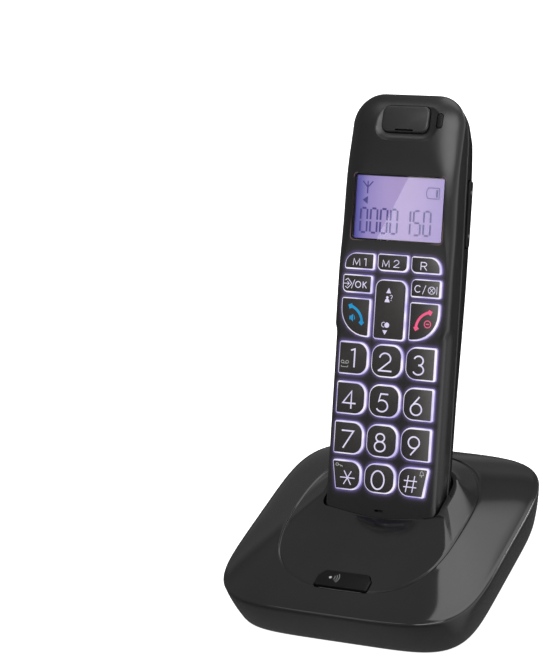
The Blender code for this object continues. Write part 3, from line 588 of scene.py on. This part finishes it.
KEYS = {
    "key_memory_1": (-20.8, -7.8, 95.0, 101.7, (SHARP, SHARP, SHARP, 5.0)),
    "key_memory_2": (-6.7, 6.7, 95.0, 101.9, (2.4, 2.4, SHARP, SHARP)),
    "key_recall": (7.8, 20.8, 95.0, 101.7, (2.4, SHARP, 5.0, SHARP)),
    "key_ok": (-21.2, -8.3, 85.6, 92.9, (2.2, SHARP, SHARP, SHARP)),
    "key_clear": (8.3, 21.2, 85.6, 92.9, (SHARP, SHARP, SHARP, 2.2)),
    "key_talk": (-21.2, -8.4, 68.4, 83.7, (11.0, SHARP, SHARP, SHARP)),
    "key_end": (8.4, 21.2, 68.4, 83.7, (SHARP, 11.0, SHARP, SHARP)),
    "navigation_rocker": (-6.9, 6.9, 67.9, 91.8, (1.6, 1.6, 3.4, 3.4)),
}
DIGITS = (("key_1", "key_2", "key_3"), ("key_4", "key_5", "key_6"), ("key_7", "key_8", "key_9"),
          ("key_star", "key_0", "key_hash"))
for names, row in zip(DIGITS, ROWS):
    KEYS[names[0]] = (-21.0, -8.0, *row, (SHARP, ROUND, ROUND, SHARP))
    KEYS[names[1]] = (-6.8, 6.8, *row, (ROUND,) * 4)
    KEYS[names[2]] = (8.0, 21.0, *row, (ROUND, SHARP, SHARP, ROUND))


def half_width(v):
    half = HALF_WIDTH + (HALF_WIDTH_TOP - HALF_WIDTH) * smooth((v - 85) / 65)
    for end, corner, sign in CORNERS:
        past = sign * (v - (end - sign * corner))
        if past > 0:
            half += math.sqrt(max(0.0, corner**2 - past**2)) - corner
    return half


def face(v):
    """The face's middle line: flat, then swept back towards the top."""
    return -max(0.0, v - FACE_FLAT_TO) ** 2 / FACE_SWEEP


def face_at(u, v):
    """The face's height, with its crowned upper part and its evenly rounded edge."""
    half, across = half_width(min(max(v, 3.5), 152.8)), abs(u)
    away = min(half - across, END_TOP - v, v - END_BOTTOM)
    for end, corner, sign in CORNERS:
        over_u, over_v = across - (half - corner), sign * (v - end) + corner
        if over_u > 0 and over_v > 0:
            away = corner - math.hypot(over_u, over_v)
    upper, foot = smooth((v - 95) / 20), smooth((1.0 - v) / 8)
    wide = 2.4 + 2.9 * upper + 6.7 * smooth((v - 124) / 22) + 2.6 * foot
    deep = 2.4 + 0.7 * upper + 0.4 * smooth((v - 124) / 22) + 0.6 * foot
    drop = (0.2 * smooth((v - 90) / 32) + 0.8 * smooth((v - 134) / 18)) * (across / half) ** 2
    if away < wide:
        drop += deep * (1 - math.sqrt(max(0.0, 1 - (1 - max(0.0, away) / wide) ** 2)))
    return face(v) - drop


def grip(v):
    """How much of the side's grip facet there is at this height."""
    return smooth((73.5 - v) / 4.0) * smooth((v + 4.0) / 8.0)


def tuck(v):
    """How far the sides draw in towards the parting."""
    return 0.25 + 1.7 * smooth((v - 146.0) / 15.0)


def squeezed(v, inset):
    middle, half = (END_TOP + END_BOTTOM) / 2, (END_TOP - END_BOTTOM) / 2
    return middle + (v - middle) * (half - inset) / half


def stations(step):
    """Heights along the handset, close together at its rounded ends."""
    ends = (0.0, 0.05, 0.2, 0.45, 0.8, 1.25, 1.8, 2.5, 3.3, 4.2, 5.2, 6.4, 7.8, 9.4, 11.2)
    low, high = END_BOTTOM + ends[-1], END_TOP - ends[-1]
    count = round((high - low) / step)
    middle = [low + (high - low) * k / count for k in range(1, count)]
    return [END_BOTTOM + e for e in ends] + middle + [END_TOP - e for e in reversed(ends)]


def quarter(u, w, radius, start, steps):
    """A quarter circle about (u, w), from the angle start."""
    turns = [start + math.pi / 2 * k / steps for k in range(steps + 1)]
    return [(u + radius * math.cos(a), w + radius * math.sin(a)) for a in turns]


def front_hollow_ring(v):
    """The hollow's section in the front shell at v, from below the parting round the face and back."""
    half, top, low = half_width(v) - WALL, face(v) - WALL, PARTING - 1
    edge = min(2.6 - WALL * 0.8, (top - low) * 0.8)
    flat = half - edge
    points = [(-half, low), (half, low)] + quarter(flat, top - edge, edge, 0, 3)
    points += [(flat - 2 * flat * k / 6, top) for k in range(1, 6)]
    points += quarter(-flat, top - edge, edge, math.pi / 2, 3)
    return [(u, squeezed(v, WALL), w) for u, w in points]


def shown_ring(v):
    """The front shell's outer section: tucked-in sides with a grip facet, and the rounded face."""
    half, facet = half_width(v), grip(v)
    edge = face_at(half, v)
    side = []
    for k in range(13):
        share = k / 12
        w = PARTING + 0.25 + (edge - PARTING - 0.25) * share
        u = half - tuck(v) * (1 - share) ** 1.5 * min(1.0, half / 20)
        if w > -5.0:
            u -= facet * 1.5 * ((w + 5.0) / 5.0)
        elif w > -5.8:
            u -= facet * 0.12 * (w + 5.8) / 0.8
        side.append((u, w))
    points = [(-side[0][0] + 0.25, PARTING), (side[0][0] - 0.25, PARTING)] + side
    inner = side[-1][0]
    spread_out = [0.02, 0.07, 0.15, 0.26, 0.4, 0.58, 0.8, 1.06, 1.36, 1.7, 2.1, 2.55, 3.05, 3.6, 4.2,
                  4.9, 5.7, 6.5, 7.3, 8.1, 8.9, 9.8, 10.8, 11.9]
    reach = [inner - d * min(1.0, inner / 12) for d in spread_out]
    first = reach[-1]
    middle = [first - 2 * first * k / 52 for k in range(1, 52)]
    for u in reach + middle + [-u for u in reversed(reach)]:
        points.append((u, face_at(u * half / inner, v)))
    points += [(-u, w) for u, w in reversed(side)]
    return [(u, v, w) for u, w in points]


def back_ring(v, inset, high, across, steps):
    """The rear shell's section at v: square at the parting, well rounded at the back."""
    half, low = half_width(v) - inset - (tuck(v) - 0.25), spline(BACK_PROFILE, v) + inset
    edge = min(7.0 - inset, (high - low) * 0.85)
    lip = min(0.4, (high - low) * 0.1)
    points = [(half - lip * (1 - math.cos(a)), high - lip * (1 - math.sin(a))) for a in (0.0, 0.5, 1.0, 1.57)]
    flat = half - edge
    points += [(-u, w) for u, w in reversed(points)] + quarter(-flat, low + edge, edge, math.pi, steps)
    points += [(-flat + 2 * flat * k / across, low) for k in range(1, across)]
    points += quarter(flat, low + edge, edge, -math.pi / 2, steps)
    return [(u, squeezed(v, inset), w) for u, w in points]


def key_outline(name, grow=0.0, steps=8):
    """A key's outline, grown on every side, or by (left, right, below, above)."""
    low_u, high_u, low_v, high_v, radii = KEYS[name]
    left, right, below, above = grow if isinstance(grow, tuple) else (grow,) * 4
    lean_left = 1.8 if name == "key_star" else 0.0
    lean_right = 1.8 if name == "key_hash" else 0.0
    corners = [(low_u - left + lean_left, low_v - below), (high_u + right - lean_right, low_v - below),
               (high_u + right, high_v + above), (low_u - left, high_v + above)]
    mean = (left + right + below + above) / 4
    return rounded([(x, y, max(0.15, r + mean)) for (x, y), r in zip(corners, radii)], steps)


def distance_to(points, outline):
    """How far each point is from an outline."""
    best = np.full(len(points), 1e9)
    ring = np.array(outline)
    for a, b in zip(ring, np.roll(ring, -1, 0)):
        along = b - a
        t = np.clip((points - a) @ along / max(1e-9, along @ along), 0, 1)
        best = np.minimum(best, np.linalg.norm(points - a - t[:, None] * along, axis=1))
    return best


def add_spill(obj):
    """Stores how much key light falls on each point of the front shell."""
    back = H.inverted()
    local = np.array([(back @ v.co) / MM for v in obj.data.vertices])
    light = np.zeros(len(local))
    near = local[:, 2] > -0.6
    for name in KEYS:
        away = distance_to(local[near][:, :2], key_outline(name, 0.0, 4))
        light[near] = np.maximum(light[near], np.exp(-np.maximum(0.0, away - 0.2) / 0.8))
    attribute = obj.data.attributes.new("spill", "FLOAT", "POINT")
    attribute.data.foreach_set("value", light.astype(np.float32))


def make_front():
    shell = skin("handset_front", [shown_ring(v) for v in stations(0.9)], H, FRONT_BLACK, 50)
    hollow = skin("cut_front_hollow", [front_hollow_ring(v) for v in stations(12)], H)
    shapes = [(key_outline(name, GAP), -4.0, 4.0) for name in KEYS]
    shapes.append((rectangle(WINDOW_HALF, WINDOW_HALF_V, 1.2, (0, WINDOW_V)), -3.0, 3.0))
    shapes.append((rectangle(1.85, 0.45, 0.4), -3.0, 2.0))
    shapes += [(rectangle(2.1, 3.2, 0.2, (u, END_BOTTOM), 2), *CONTACT_W) for u in CONTACT_U]
    holes = prisms("cut_front_holes", shapes, H)
    tilt = math.atan(-2 * (EARPIECE_V - FACE_FLAT_TO) / FACE_SWEEP)
    ear = H @ Matrix.Translation((0, EARPIECE_V * MM, face(EARPIECE_V) * MM)) @ Matrix.Rotation(tilt, 4, "X")
    outline = rounded([(-15.4, -9.2, 8.5), (13.4, -9.2, 6.5), (17.0, 7.0, 4.5), (-15.0, 7.0, 4.0)], 10)

    def lifted(x, y):
        """How much shallower the dish is on its upper left."""
        return smooth((-x - 7.0) / 8.0) * smooth((y + 7.5) / 8.0)

    levels = ((0.6, -1.15), (0.7, -1.1), (0.78, -0.98), (0.85, -0.76), (0.92, -0.46), (0.97, -0.22),
              (1.02, 0.06), (1.1, 0.6), (1.3, 6.0))
    rings = [[(x * k, y * k, w + lifted(x * k, y * k)) for x, y in outline] for k, w in levels]
    dish = skin("cut_dish", rings, ear)
    (pad_u, pad_v), (light_u, light_v), light_at = PAD_HALF, CALL_LIGHT_HALF, CALL_LIGHT_PLACE
    seats = prisms("cut_seats", [(rectangle(pad_u + GAP, pad_v + GAP, 3.2), -6.0, 3.0),
                                 (rectangle(light_u + GAP, light_v + GAP, 1.3, light_at), -6.0, 3.0)], ear)
    cut(shell, [hollow, dish, holes, seats])
    add_spill(shell)
    put(shell, "handset", "shell_black", "handset_front_shell")

    outline = rectangle(pad_u, pad_v, 2.9, (0, 0), 10)
    levels = [(0.0, -2.4)]
    levels += [(0.7 * (1 - math.cos(a)), -0.4 + 0.65 * math.sin(a)) for a in (0, 0.35, 0.7, 1.1, 1.57)]
    rings = [[(x * (1 - i / pad_u), y * (1 - i / pad_v), w) for x, y in outline] for i, w in levels]
    pad = skin("earpiece_pad", rings, ear, PAD_BLACK)
    cut(pad, [prisms("cut_slit", [(rectangle(3.9, 0.35, 0.3, (0, -4.5)), -4.0, 3.0)], ear)])
    put(pad, "handset", "shell_black", "earpiece_cover")
    outline = rectangle(light_u, light_v, 1.05, light_at)
    rings = [[(light_at[0] + (x - light_at[0]) * k, y * k, w) for x, y in outline]
             for k, w in ((1.0, -2.2), (1.0, -0.8), (0.93, -0.65), (0.8, -0.6))]
    put(skin("call_light_pipe", rings, ear, LIGHT_PIPE), "handset", "pipe_smoke", "call_light")


def make_keys():
    """Each key is a lit wall, a lit rounded rim and a dark cap, so that its rim glows round the cap."""
    for name, (low_u, _, _, high_v, _) in KEYS.items():
        edges = (0.45, 0.8, 0.55, 0.6) if high_v < 67 else (0.45, 0.75, 0.6, 0.4)

        def rings(*levels):
            """Outlines drawn in by shares of the rim's width, each at its height."""
            return [[(x, y, w) for x, y in key_outline(name, tuple(-r * share for r in edges))]
                    for share, w in levels]

        walls = rings((0.0, KEY_BOTTOM), (0.0, 0.5))
        wall = put(skin(name + "_light", walls, H, WALL_GLOW, 60), name, "key_grey", name)
        # The rim's backlit glow carries painted highlights as whiter patches.
        rims = rings((0.0, 0.5), (0.12, 0.72), (0.35, 0.88), (0.7, 0.97), (1.0, 1.0))
        rim = put(skin(name + "_rim", rims, H, LIT_RIM_AND_PAINTED_HIGHLIGHT, 60), name, "key_grey")
        wall.visible_glossy = rim.visible_glossy = False
        caps = rings((1.0, 0.9), (1.0, 1.1), (1.08, 1.16), (1.25, KEY_TOP))
        # The right-hand keys get the cap with a painted highlight on its right side.
        look = KEY_CAP_PAINTED_HIGHLIGHT if low_u > 5 else KEY_CAP
        put(skin(name + "_cap", caps, H, look, 50), name, "key_grey")


LEGEND_SHIFT = {"key_1": (0.2, 0.0), "key_star": (0.6, -1.0), "key_hash": (-1.2, -0.7)}


@contextlib.contextmanager
def marks(key, look):
    """Gives a mesh to draw flat marks in, and puts it on the key at the end."""
    bm = bmesh.new()
    yield bm
    put(finish(bm, key + "_" + look.name, H, look), key, "key_grey")


def receiver(bm, one, bow, other):
    """A telephone receiver: a curved grip from one cup to the other, which point inwards."""
    one, bow, other = Vector(one), Vector(bow), Vector(other)
    pull = bow * 2 - (one + other) / 2
    shares = [k / 16 for k in range(17)]
    grip_line = [one * (1 - t) ** 2 + pull * 2 * t * (1 - t) + other * t * t for t in shares]
    ribbon(bm, [tuple(p) for p in grip_line], 1.05)
    inward = ((one + other) / 2 - bow).normalized()
    for k, (end, beside) in enumerate(((one, grip_line[2]), (other, grip_line[-3]))):
        along = (end - beside).normalized()
        lead = (inward + along * 0.35).normalized()
        ribbon(bm, [tuple(end - lead * 0.55), tuple(end + lead * 1.15)], 1.75, LEGEND_W + 0.004 * (k + 1))


def make_legends():
    for names, texts in zip(DIGITS, ("123", "456", "789", "*0#")):
        for name, text in zip(names, texts):
            low_u, high_u, low_v, high_v, _ = KEYS[name]
            du, dv = LEGEND_SHIFT.get(name, (-0.7, -0.6))
            centre = ((low_u + high_u) / 2 + du, (low_v + high_v) / 2 + dv)
            width = 0.42 if text in "*#" else 0.6
            with marks(name, LEGEND) as bm:
                write(bm, text, centre, 7.3, width, 1.04)
    with marks("key_1", SIGN) as bm:
        for u in (-19.1, -17.1):
            ribbon(bm, arc(u, 58.0, 0.62, 0.55, 0, 360, 18)[:-1], 0.2, closed=True)
        ribbon(bm, [(-19.1, 57.43), (-17.1, 57.43)], 0.18)
        ribbon(bm, [(-19.6, 56.6), (-19.5, 56.0), (-16.8, 56.0), (-16.7, 56.6)], 0.2)
    with marks("key_star", SIGN) as bm:
        ribbon(bm, arc(-18.7, 16.9, 0.6, 0.5, 0, 360, 18)[:-1], 0.22, closed=True)
        ribbon(bm, [(-18.1, 16.8), (-16.5, 16.5), (-16.4, 16.0)], 0.22)
        ribbon(bm, [(-17.1, 16.6), (-17.05, 16.1)], 0.2)
    with marks("key_hash", SIGN) as bm:
        ribbon(bm, [(17.0, 15.9), (19.0, 16.3)], 0.24)
        ribbon(bm, [(17.3, 16.1)] + arc(18.0, 16.9, 0.62, 0.75, 190, -10, 12) + [(18.8, 16.3)], 0.22)
        patch(bm, circle(17.95, 15.6, 0.25, 12))
    with marks("key_memory_1", LEGEND) as bm:
        write(bm, "M", (-15.6, 98.0), 2.8, 0.3, 1.45)
        write(bm, "1", (-11.7, 98.0), 2.9, 0.3, 1.3)
    with marks("key_memory_2", LEGEND) as bm:
        write(bm, "M", (-2.9, 98.1), 2.8, 0.3, 1.45)
        write(bm, "2", (1.6, 98.2), 2.9, 0.3, 1.15)
    with marks("key_recall", LEGEND) as bm:
        write(bm, "R", (13.3, 98.1), 3.2, 0.34, 1.4)
    with marks("key_ok", LEGEND) as bm:
        ribbon(bm, [(-20.6, 89.2), (-18.4, 89.2)], 0.26)
        ribbon(bm, [(-19.1, 90.0), (-18.3, 89.2), (-19.1, 88.4)], 0.26)
        ribbon(bm, [(-20.0, 90.5), (-18.9, 91.2), (-17.2, 89.3), (-18.9, 87.3), (-20.0, 88.0)], 0.28)
        write(bm, "/", (-16.6, 89.1), 3.2, 0.27)
        write(bm, "O", (-14.4, 89.05), 2.6, 0.36, 1.05)
        write(bm, "K", (-11.6, 89.05), 2.6, 0.36, 1.05)
    with marks("key_clear", LEGEND) as bm:
        write(bm, "C", (11.3, 89.1), 2.8, 0.36, 1.1)
        write(bm, "/", (14.1, 88.9), 3.2, 0.27)
        ribbon(bm, arc(17.3, 88.8, 1.45, 1.4, 0, 360, 28)[:-1], 0.24, closed=True)
        for slant in (-1, 1):
            ribbon(bm, [(16.4, 88.8 - 0.95 * slant), (18.2, 88.8 + 0.95 * slant)], 0.22)
        ribbon(bm, [(19.5, 87.3), (19.5, 90.4)], 0.22)
    with marks("navigation_rocker", LEGEND) as bm:
        patch(bm, [(-2.0, 86.5), (0.1, 86.5), (-0.95, 88.6)])
        patch(bm, circle(-1.4, 84.8, 0.55, 16))
        patch(bm, [(-2.5, 82.9), (-0.3, 82.9), (-0.6, 83.9), (-1.1, 84.3), (-1.8, 84.3), (-2.2, 83.9)])
        ribbon(bm, arc(0.2, 85.3, 0.5, 0.5, 165, -50, 12) + [(0.25, 84.3)], 0.22)
        patch(bm, circle(0.25, 83.75, 0.18, 10))
        ribbon(bm, arc(-2.3, 74.0, 0.85, 0.95, 60, 300, 18), 0.26)
        patch(bm, circle(-0.9, 73.9, 1.05, 24))
        patch(bm, [(-1.65, 70.0), (-0.6, 71.8), (-2.7, 71.8)])
    with marks("key_talk", BLUE) as bm:
        receiver(bm, (-16.7, 80.4), (-13.3, 78.0), (-11.8, 74.3))
        patch(bm, [(-17.3, 75.0), (-16.7, 75.0), (-16.7, 76.5), (-17.3, 76.5)])
        patch(bm, [(-16.6, 75.0), (-15.7, 74.2), (-15.7, 77.3), (-16.6, 76.5)])
        ribbon(bm, [(-15.2, 75.0), (-15.0, 75.8), (-15.2, 76.6)], 0.3)
    with marks("key_end", PINK) as bm:
        receiver(bm, (11.5, 73.9), (13.2, 77.9), (16.9, 80.2))
        ribbon(bm, arc(16.4, 75.5, 1.35, 1.35, 0, 360, 28)[:-1], 0.36, closed=True)
        ribbon(bm, [(15.7, 75.5), (17.1, 75.5)], 0.4)


# ---- display

SEGMENTS = {"0": "abcdef", "1": "bc", "5": "acdfg"}
SEGMENT_W = -2.37


def seven_segment(bm, text, left):
    """Segment digits: two uprights on each side and bars across."""
    for k, glyph in enumerate(text):
        x0 = left + k * 4.35
        x1, y0, y1 = x0 + 2.9, 109.9, 109.9 + 9.6
        ym = (y0 + y1) / 2
        bars = {
            "a": ((x0 + 0.55, y1), (x1 - 0.55, y1)), "d": ((x0 + 0.55, y0), (x1 - 0.55, y0)),
            "g": ((x0 + 0.4, ym), (x1 - 0.4, ym)), "b": ((x1, ym + 0.4), (x1 - 0.05, y1 - 0.3)),
            "c": ((x1, y0 + 0.3), (x1, ym - 0.4)), "f": ((x0, ym + 0.4), (x0 + 0.05, y1 - 0.3)),
            "e": ((x0, y0 + 0.3), (x0, ym - 0.4)),
        }
        for key in SEGMENTS[glyph]:
            ribbon(bm, bars[key], 0.8, SEGMENT_W)


def make_display():
    panel = prisms("lcd_panel", [(rectangle(20.4, 13.9, 0.6, (0, 120.5), 3), -3.8, -2.4)], H, "Z", LCD)
    put(panel, "handset", "lcd_lavender", "display_module")
    left, right, low, high = -WINDOW_HALF + 0.6, WINDOW_HALF - 0.5, WINDOW_LOW + 0.55, WINDOW_HIGH - 0.75
    inner = rounded([(left, low, 0.5), (right, low, 0.5), (right, high, 0.5), (left, high, 0.5)])
    outer = rectangle(WINDOW_HALF + 0.3, WINDOW_HALF_V + 0.3, 1.4, (0, WINDOW_V))
    rings = [[(x, y, w) for x, y in outline]
             for outline, w in ((outer, -1.46), (inner, -1.46), (inner, -2.38))]
    put(skin("lcd_mask", rings, H, MASK, close=False), "handset", "shell_black")
    outline = rectangle(WINDOW_HALF - GAP, WINDOW_HALF_V - GAP, 1.0, (0, WINDOW_V))
    lens = prisms("clear_lens", [(outline, -1.4, -0.4)], H, "Z", LENS)
    lens.data.materials.append(MASK)
    for side in lens.data.polygons:
        side.material_index = int(side.area < 1e-4)
    put(lens, "handset", "lens_smoke", "display_lens")
    # A thin ring round the window, whose glow paints the glint along the window's edge.
    rings = [[(x, y, face_at(x, y) + w)
              for x, y in rectangle(WINDOW_HALF + grow, WINDOW_HALF_V + grow, 1.2 + grow, (0, WINDOW_V), 6)]
             for grow, w in ((0.42, -0.03), (0.38, 0.03), (0.05, 0.0), (-0.03, -0.3))]
    put(skin("painted_window_glint", rings, H, PAINTED_LENS_GLINT, close=False), "handset", "shell_black")

    bm = bmesh.new()
    seven_segment(bm, "0000", -16.6)
    seven_segment(bm, "150", 2.0)
    ribbon(bm, [(-14.2, 125.3), (-14.2, 130.3)], 0.6, SEGMENT_W)
    ribbon(bm, [(-16.4, 130.2), (-14.2, 127.8), (-12.0, 130.2)], 0.55, SEGMENT_W)
    patch(bm, [(-16.2, 122.7), (-13.9, 121.1), (-13.9, 124.3)], SEGMENT_W)
    battery = [(12.0, 124.6), (16.6, 124.6), (16.6, 128.8), (12.0, 128.8), (11.2, 127.6), (11.2, 125.8)]
    ribbon(bm, battery, 0.4, SEGMENT_W, True)
    patch(bm, [(15.2, 125.2), (16.1, 125.2), (16.1, 128.2), (15.2, 128.2)], SEGMENT_W)
    put(finish(bm, "lcd_segments", H, SEGMENT), "handset", "lcd_lavender")


def make_back():
    shell = skin("handset_rear", [back_ring(v, 0, PARTING - 0.25, 24, 12) for v in stations(2.5)],
                 H, REAR_BLACK, 50)
    hollow = skin("cut_rear_hollow", [back_ring(v, WALL, PARTING + 1, 6, 4) for v in stations(12)], H)
    shapes = [(rectangle(13.5, 28.5, 0.4, (0, 64.0), 4), BEHIND, -16.0)]
    shapes += [(circle(*place, 2.2, 28), BEHIND, -16.5) for place in SCREWS]
    shapes += [(rectangle(6.5, 0.6, 0.5, (0, v)), BEHIND, -19.0) for v in (136.0, 139.0, 142.0)]
    slot = rectangle(4.0, VOLUME_HALF + GAP, 0.3, (24.0, VOLUME_V), 3)
    shapes.append((slot, VOLUME_W - 2.1, VOLUME_W + 2.1))
    cut(shell, [hollow, prisms("cut_rear_holes", shapes, H)], 32)
    put(shell, "handset", "shell_black", "handset_rear_shell")

    # A strip along the parting, painted lighter grey as the glint on the seam.
    edge = [(half_width(v) - tuck(v) + 0.27, v) for v in stations(2.5)]
    edge += [(-u, v) for u, v in reversed(edge)]
    levels = ((0.5, -0.24), (0.0, -0.22), (0.0, -0.03), (0.3, 0.0))
    rings = [[(u * (1 - inset / 24), v * (1 - inset / 82) + inset * 0.95, PARTING + w) for u, v in edge]
             for inset, w in levels]
    put(skin("parting_line", rings, H, GLINT_GREY), "handset", "shell_black")

    outer = half_width(VOLUME_V) + 0.7
    outline = rectangle(VOLUME_HALF, 1.8, 1.4, (VOLUME_V, VOLUME_W))
    levels = [(outer - 3.0, 0.0), (outer - 0.55, 0.0)]
    levels += [(outer - 0.5 + 0.5 * math.sin(a), 0.5 * (1 - math.cos(a))) for a in (0.0, 0.5, 1.0, 1.57)]
    rings = [[(x, VOLUME_V + (v - VOLUME_V) * (1 - inset / VOLUME_HALF),
               VOLUME_W + (w - VOLUME_W) * (1 - inset / 1.8)) for v, w in outline] for x, inset in levels]
    put(skin("volume_key", rings, H, ROCKER_BLACK), "volume_rocker", "key_grey", "volume_rocker")
    # Two dots on the volume key, painted lighter grey as glints.
    bm = bmesh.new()
    for v in (VOLUME_V - 8.6, VOLUME_V + 8.6):
        stack(bm, [[(outer + 0.01 + rise, v + x * k, VOLUME_W + y * k) for x, y in circle(0, 0, 1.0, 20)]
                   for k, rise in ((0.8, -0.05), (0.65, 0.2), (0.4, 0.3))])
    put(finish(bm, "volume_dots", H, GLINT_GREY), "volume_rocker", "key_grey")

    rings = []
    for v in (35.8 + 56.4 * k / 40 for k in range(41)):
        section = rectangle(13.2, 0.75, 0.3, (0, spline(BACK_PROFILE, v) + 0.75), 3)
        rings.append([(x, v, w) for x, w in section])
    door = skin("battery_lid", rings, H, REAR_BLACK)
    grips = [(rectangle(6.0, 0.5, 0.45, (0, 86.2 - 2.2 * k)), BEHIND, -21.1) for k in range(3)]
    cut(door, [prisms("cut_grips", grips, H)])
    put(door, "battery_door", "shell_black", "battery_door")


LOOKS = (
    (REAR_BLACK, "base_bottom_cover"),
    (BOARD, "base_circuit_board page_board handset_circuit_board"),
    (JACK, "power_inlet line_socket battery_tray"),
    (CONE, "page_switch earpiece_speaker ringer_speaker microphone"),
    (MAT_GLOW, "keypad_mat"),
    (CELL, "battery_cell_left battery_cell_right"),
    (RUBBER, "rubber_foot_1 rubber_foot_2 rubber_foot_3 rubber_foot_4"),
    (STEEL, "base_screw_1 base_screw_2 base_screw_3 base_screw_4 handset_screw_1 handset_screw_2"),
    (STEEL, "battery_contact_plate battery_contact_springs"),
    (GOLD, "base_charge_contact_left base_charge_contact_right"),
    (GOLD, "handset_charge_pad_left handset_charge_pad_right"),
)
for look, nodes in LOOKS:
    for node in nodes.split():
        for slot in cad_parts[node].material_slots:
            slot.material = look

make_base()
make_front()
make_keys()
make_legends()
make_display()
make_back()


# ---- camera, floor and light


def camera():
    """The photograph's view: turned, raised and rolled, with the base in its lower right."""
    turn, rise, roll = math.radians(31.2802), math.radians(30.8339), math.radians(-12.3491)
    back = Vector((math.sin(turn) * math.cos(rise), -math.cos(turn) * math.cos(rise), math.sin(rise)))
    right = Vector((math.cos(turn), math.sin(turn), 0))
    up = back.cross(right)
    across = right * math.cos(roll) + up * math.sin(roll)
    upward = up * math.cos(roll) - right * math.sin(roll)
    place = across * -0.0475174 + upward * 0.0952977 + back * 0.9654447 + Vector((0, BASE_Y * MM, 0))
    data = bpy.data.cameras.new("camera")
    data.sensor_width = 36
    data.lens = 131.454795
    data.clip_start = 0.01
    made = bpy.data.objects.new("camera", data)
    scene.collection.objects.link(made)
    made.matrix_world = Matrix([[across[i], upward[i], back[i], place[i]] for i in range(3)] + [[0, 0, 0, 1]])
    scene.camera = made


def card(name, place, facing, turn, size, radiance):
    """A lit panel at place, whose back looks along facing, turned about that direction."""
    back = Vector(facing).normalized()
    across = Vector((0, 0, 1)).cross(back)
    across = across.normalized() if across.length > 1e-3 else Vector((1, 0, 0))
    upward = back.cross(across)
    data = bpy.data.lights.new(name, "AREA")
    data.shape = "RECTANGLE"
    data.size, data.size_y = size
    data.energy = radiance * math.pi * size[0] * size[1]
    made = bpy.data.objects.new(name, data)
    scene.collection.objects.link(made)
    made.matrix_world = (Matrix.Translation(place) @ Matrix.Rotation(math.radians(turn), 4, back)
                         @ Matrix([[across[i], upward[i], back[i], 0] for i in range(3)] + [[0, 0, 0, 1]]))
    made.visible_camera = False
    return made


def greys(tree, value, stops):
    """The colour socket of a ramp of (position, grey) stops."""
    return ramp(tree, value, [(position, (grey,) * 3) for position, grey in stops]).outputs["Color"]


def joined(tree, how, one, other):
    """Two colour sockets multiplied or added."""
    node = tree.nodes.new("ShaderNodeVectorMath")
    node.operation = how
    tree.links.new(one, node.inputs[0])
    tree.links.new(other, node.inputs[1])
    return node.outputs["Vector"]


def studio():
    """A lit white table under a dim tent, with five panels."""
    world = bpy.data.worlds.new("studio")
    world.use_nodes = True
    tree = world.node_tree
    parts = own_place(tree)
    shades = []
    for axis, stops in (("Z", ((0.38, 0.0), (0.455, 1.3), (0.53, 1.2), (0.6, 0.0))),
                        ("X", ((0.0, 0.05), (0.6, 0.05), (0.8, 1.0), (1.0, 1.0))),
                        ("Z", ((0.0, 0.25), (0.07, 0.2), (0.15, 0.09), (0.3, 0.04), (0.45, 0.2), (0.56, 0.2),
                               (0.68, 0.36), (0.74, 0.22), (0.82, 0.34), (1.0, 0.42))),
                        ("X", ((0.0, 0.0), (0.71, 0.0), (0.82, 0.5), (1.0, 0.8)))):
        turned = tree.nodes.new("ShaderNodeMapRange")
        turned.inputs["From Min"].default_value = -1.0
        tree.links.new(parts[axis], turned.inputs["Value"])
        shades.append(greys(tree, turned.outputs["Result"], stops))
    light = shades[0]
    for shade, how in zip(shades[1:], ("MULTIPLY", "ADD", "ADD")):
        light = joined(tree, how, light, shade)
    tree.links.new(light, tree.nodes["Background"].inputs["Color"])
    scene.world = world

    bm = bmesh.new()
    bmesh.ops.create_grid(bm, x_segments=1, y_segments=1, size=4000)
    look, tree, shader = new_material("table_white")
    shade = greys(tree, noise(tree, 3), ((0.3, 0.88), (0.7, 0.92)))
    tree.links.new(shade, shader.inputs["Base Color"])
    tree.links.new(shade, shader.inputs["Emission Color"])
    shader.inputs["Emission Strength"].default_value = 0.95
    shader.inputs["Roughness"].default_value = 0.9
    table = finish(bm, "floor", HERE, look)
    table.visible_glossy = False
    overhead = card("overhead", (0.18, 0.81, 1.2), (0, 0, 1), 8, (0.94, 1.26), 2.2)
    overhead.data.use_nodes = True
    tree = overhead.data.node_tree
    parts = tree.nodes.new("ShaderNodeSeparateXYZ")
    tree.links.new(tree.nodes.new("ShaderNodeNewGeometry").outputs["Parametric"], parts.inputs["Vector"])
    across = greys(tree, parts.outputs["X"], ((0.3, 1.0), (0.72, 0.95), (1.0, 0.3)))
    along = greys(tree, parts.outputs["Y"], ((0.55, 1.0), (0.85, 0.78), (1.0, 0.3)))
    tree.links.new(joined(tree, "MULTIPLY", across, along), tree.nodes["Emission"].inputs["Color"])
    card("front_panel", (0.264, -0.685, 1.29), (0.191, -0.525, 0.829), 0, (0.85, 0.85), 4.2)
    card("top_panel", (-0.52, -0.14, 1.3), (-0.4, -0.13, 0.9), 0, (0.3, 0.34), 2.6)
    card("rim_panel", (0.62, 0.83, 0.48), (0.52, 0.72, 0.4), 0, (0.2, 0.2), 14.0)
    card("window_panel", (-0.1815, -0.361, 0.368), (-0.405, -0.778, 0.48), -9.9, (0.052, 0.13), 1.9)
    scene.view_settings.view_transform = "Standard"


camera()
studio()
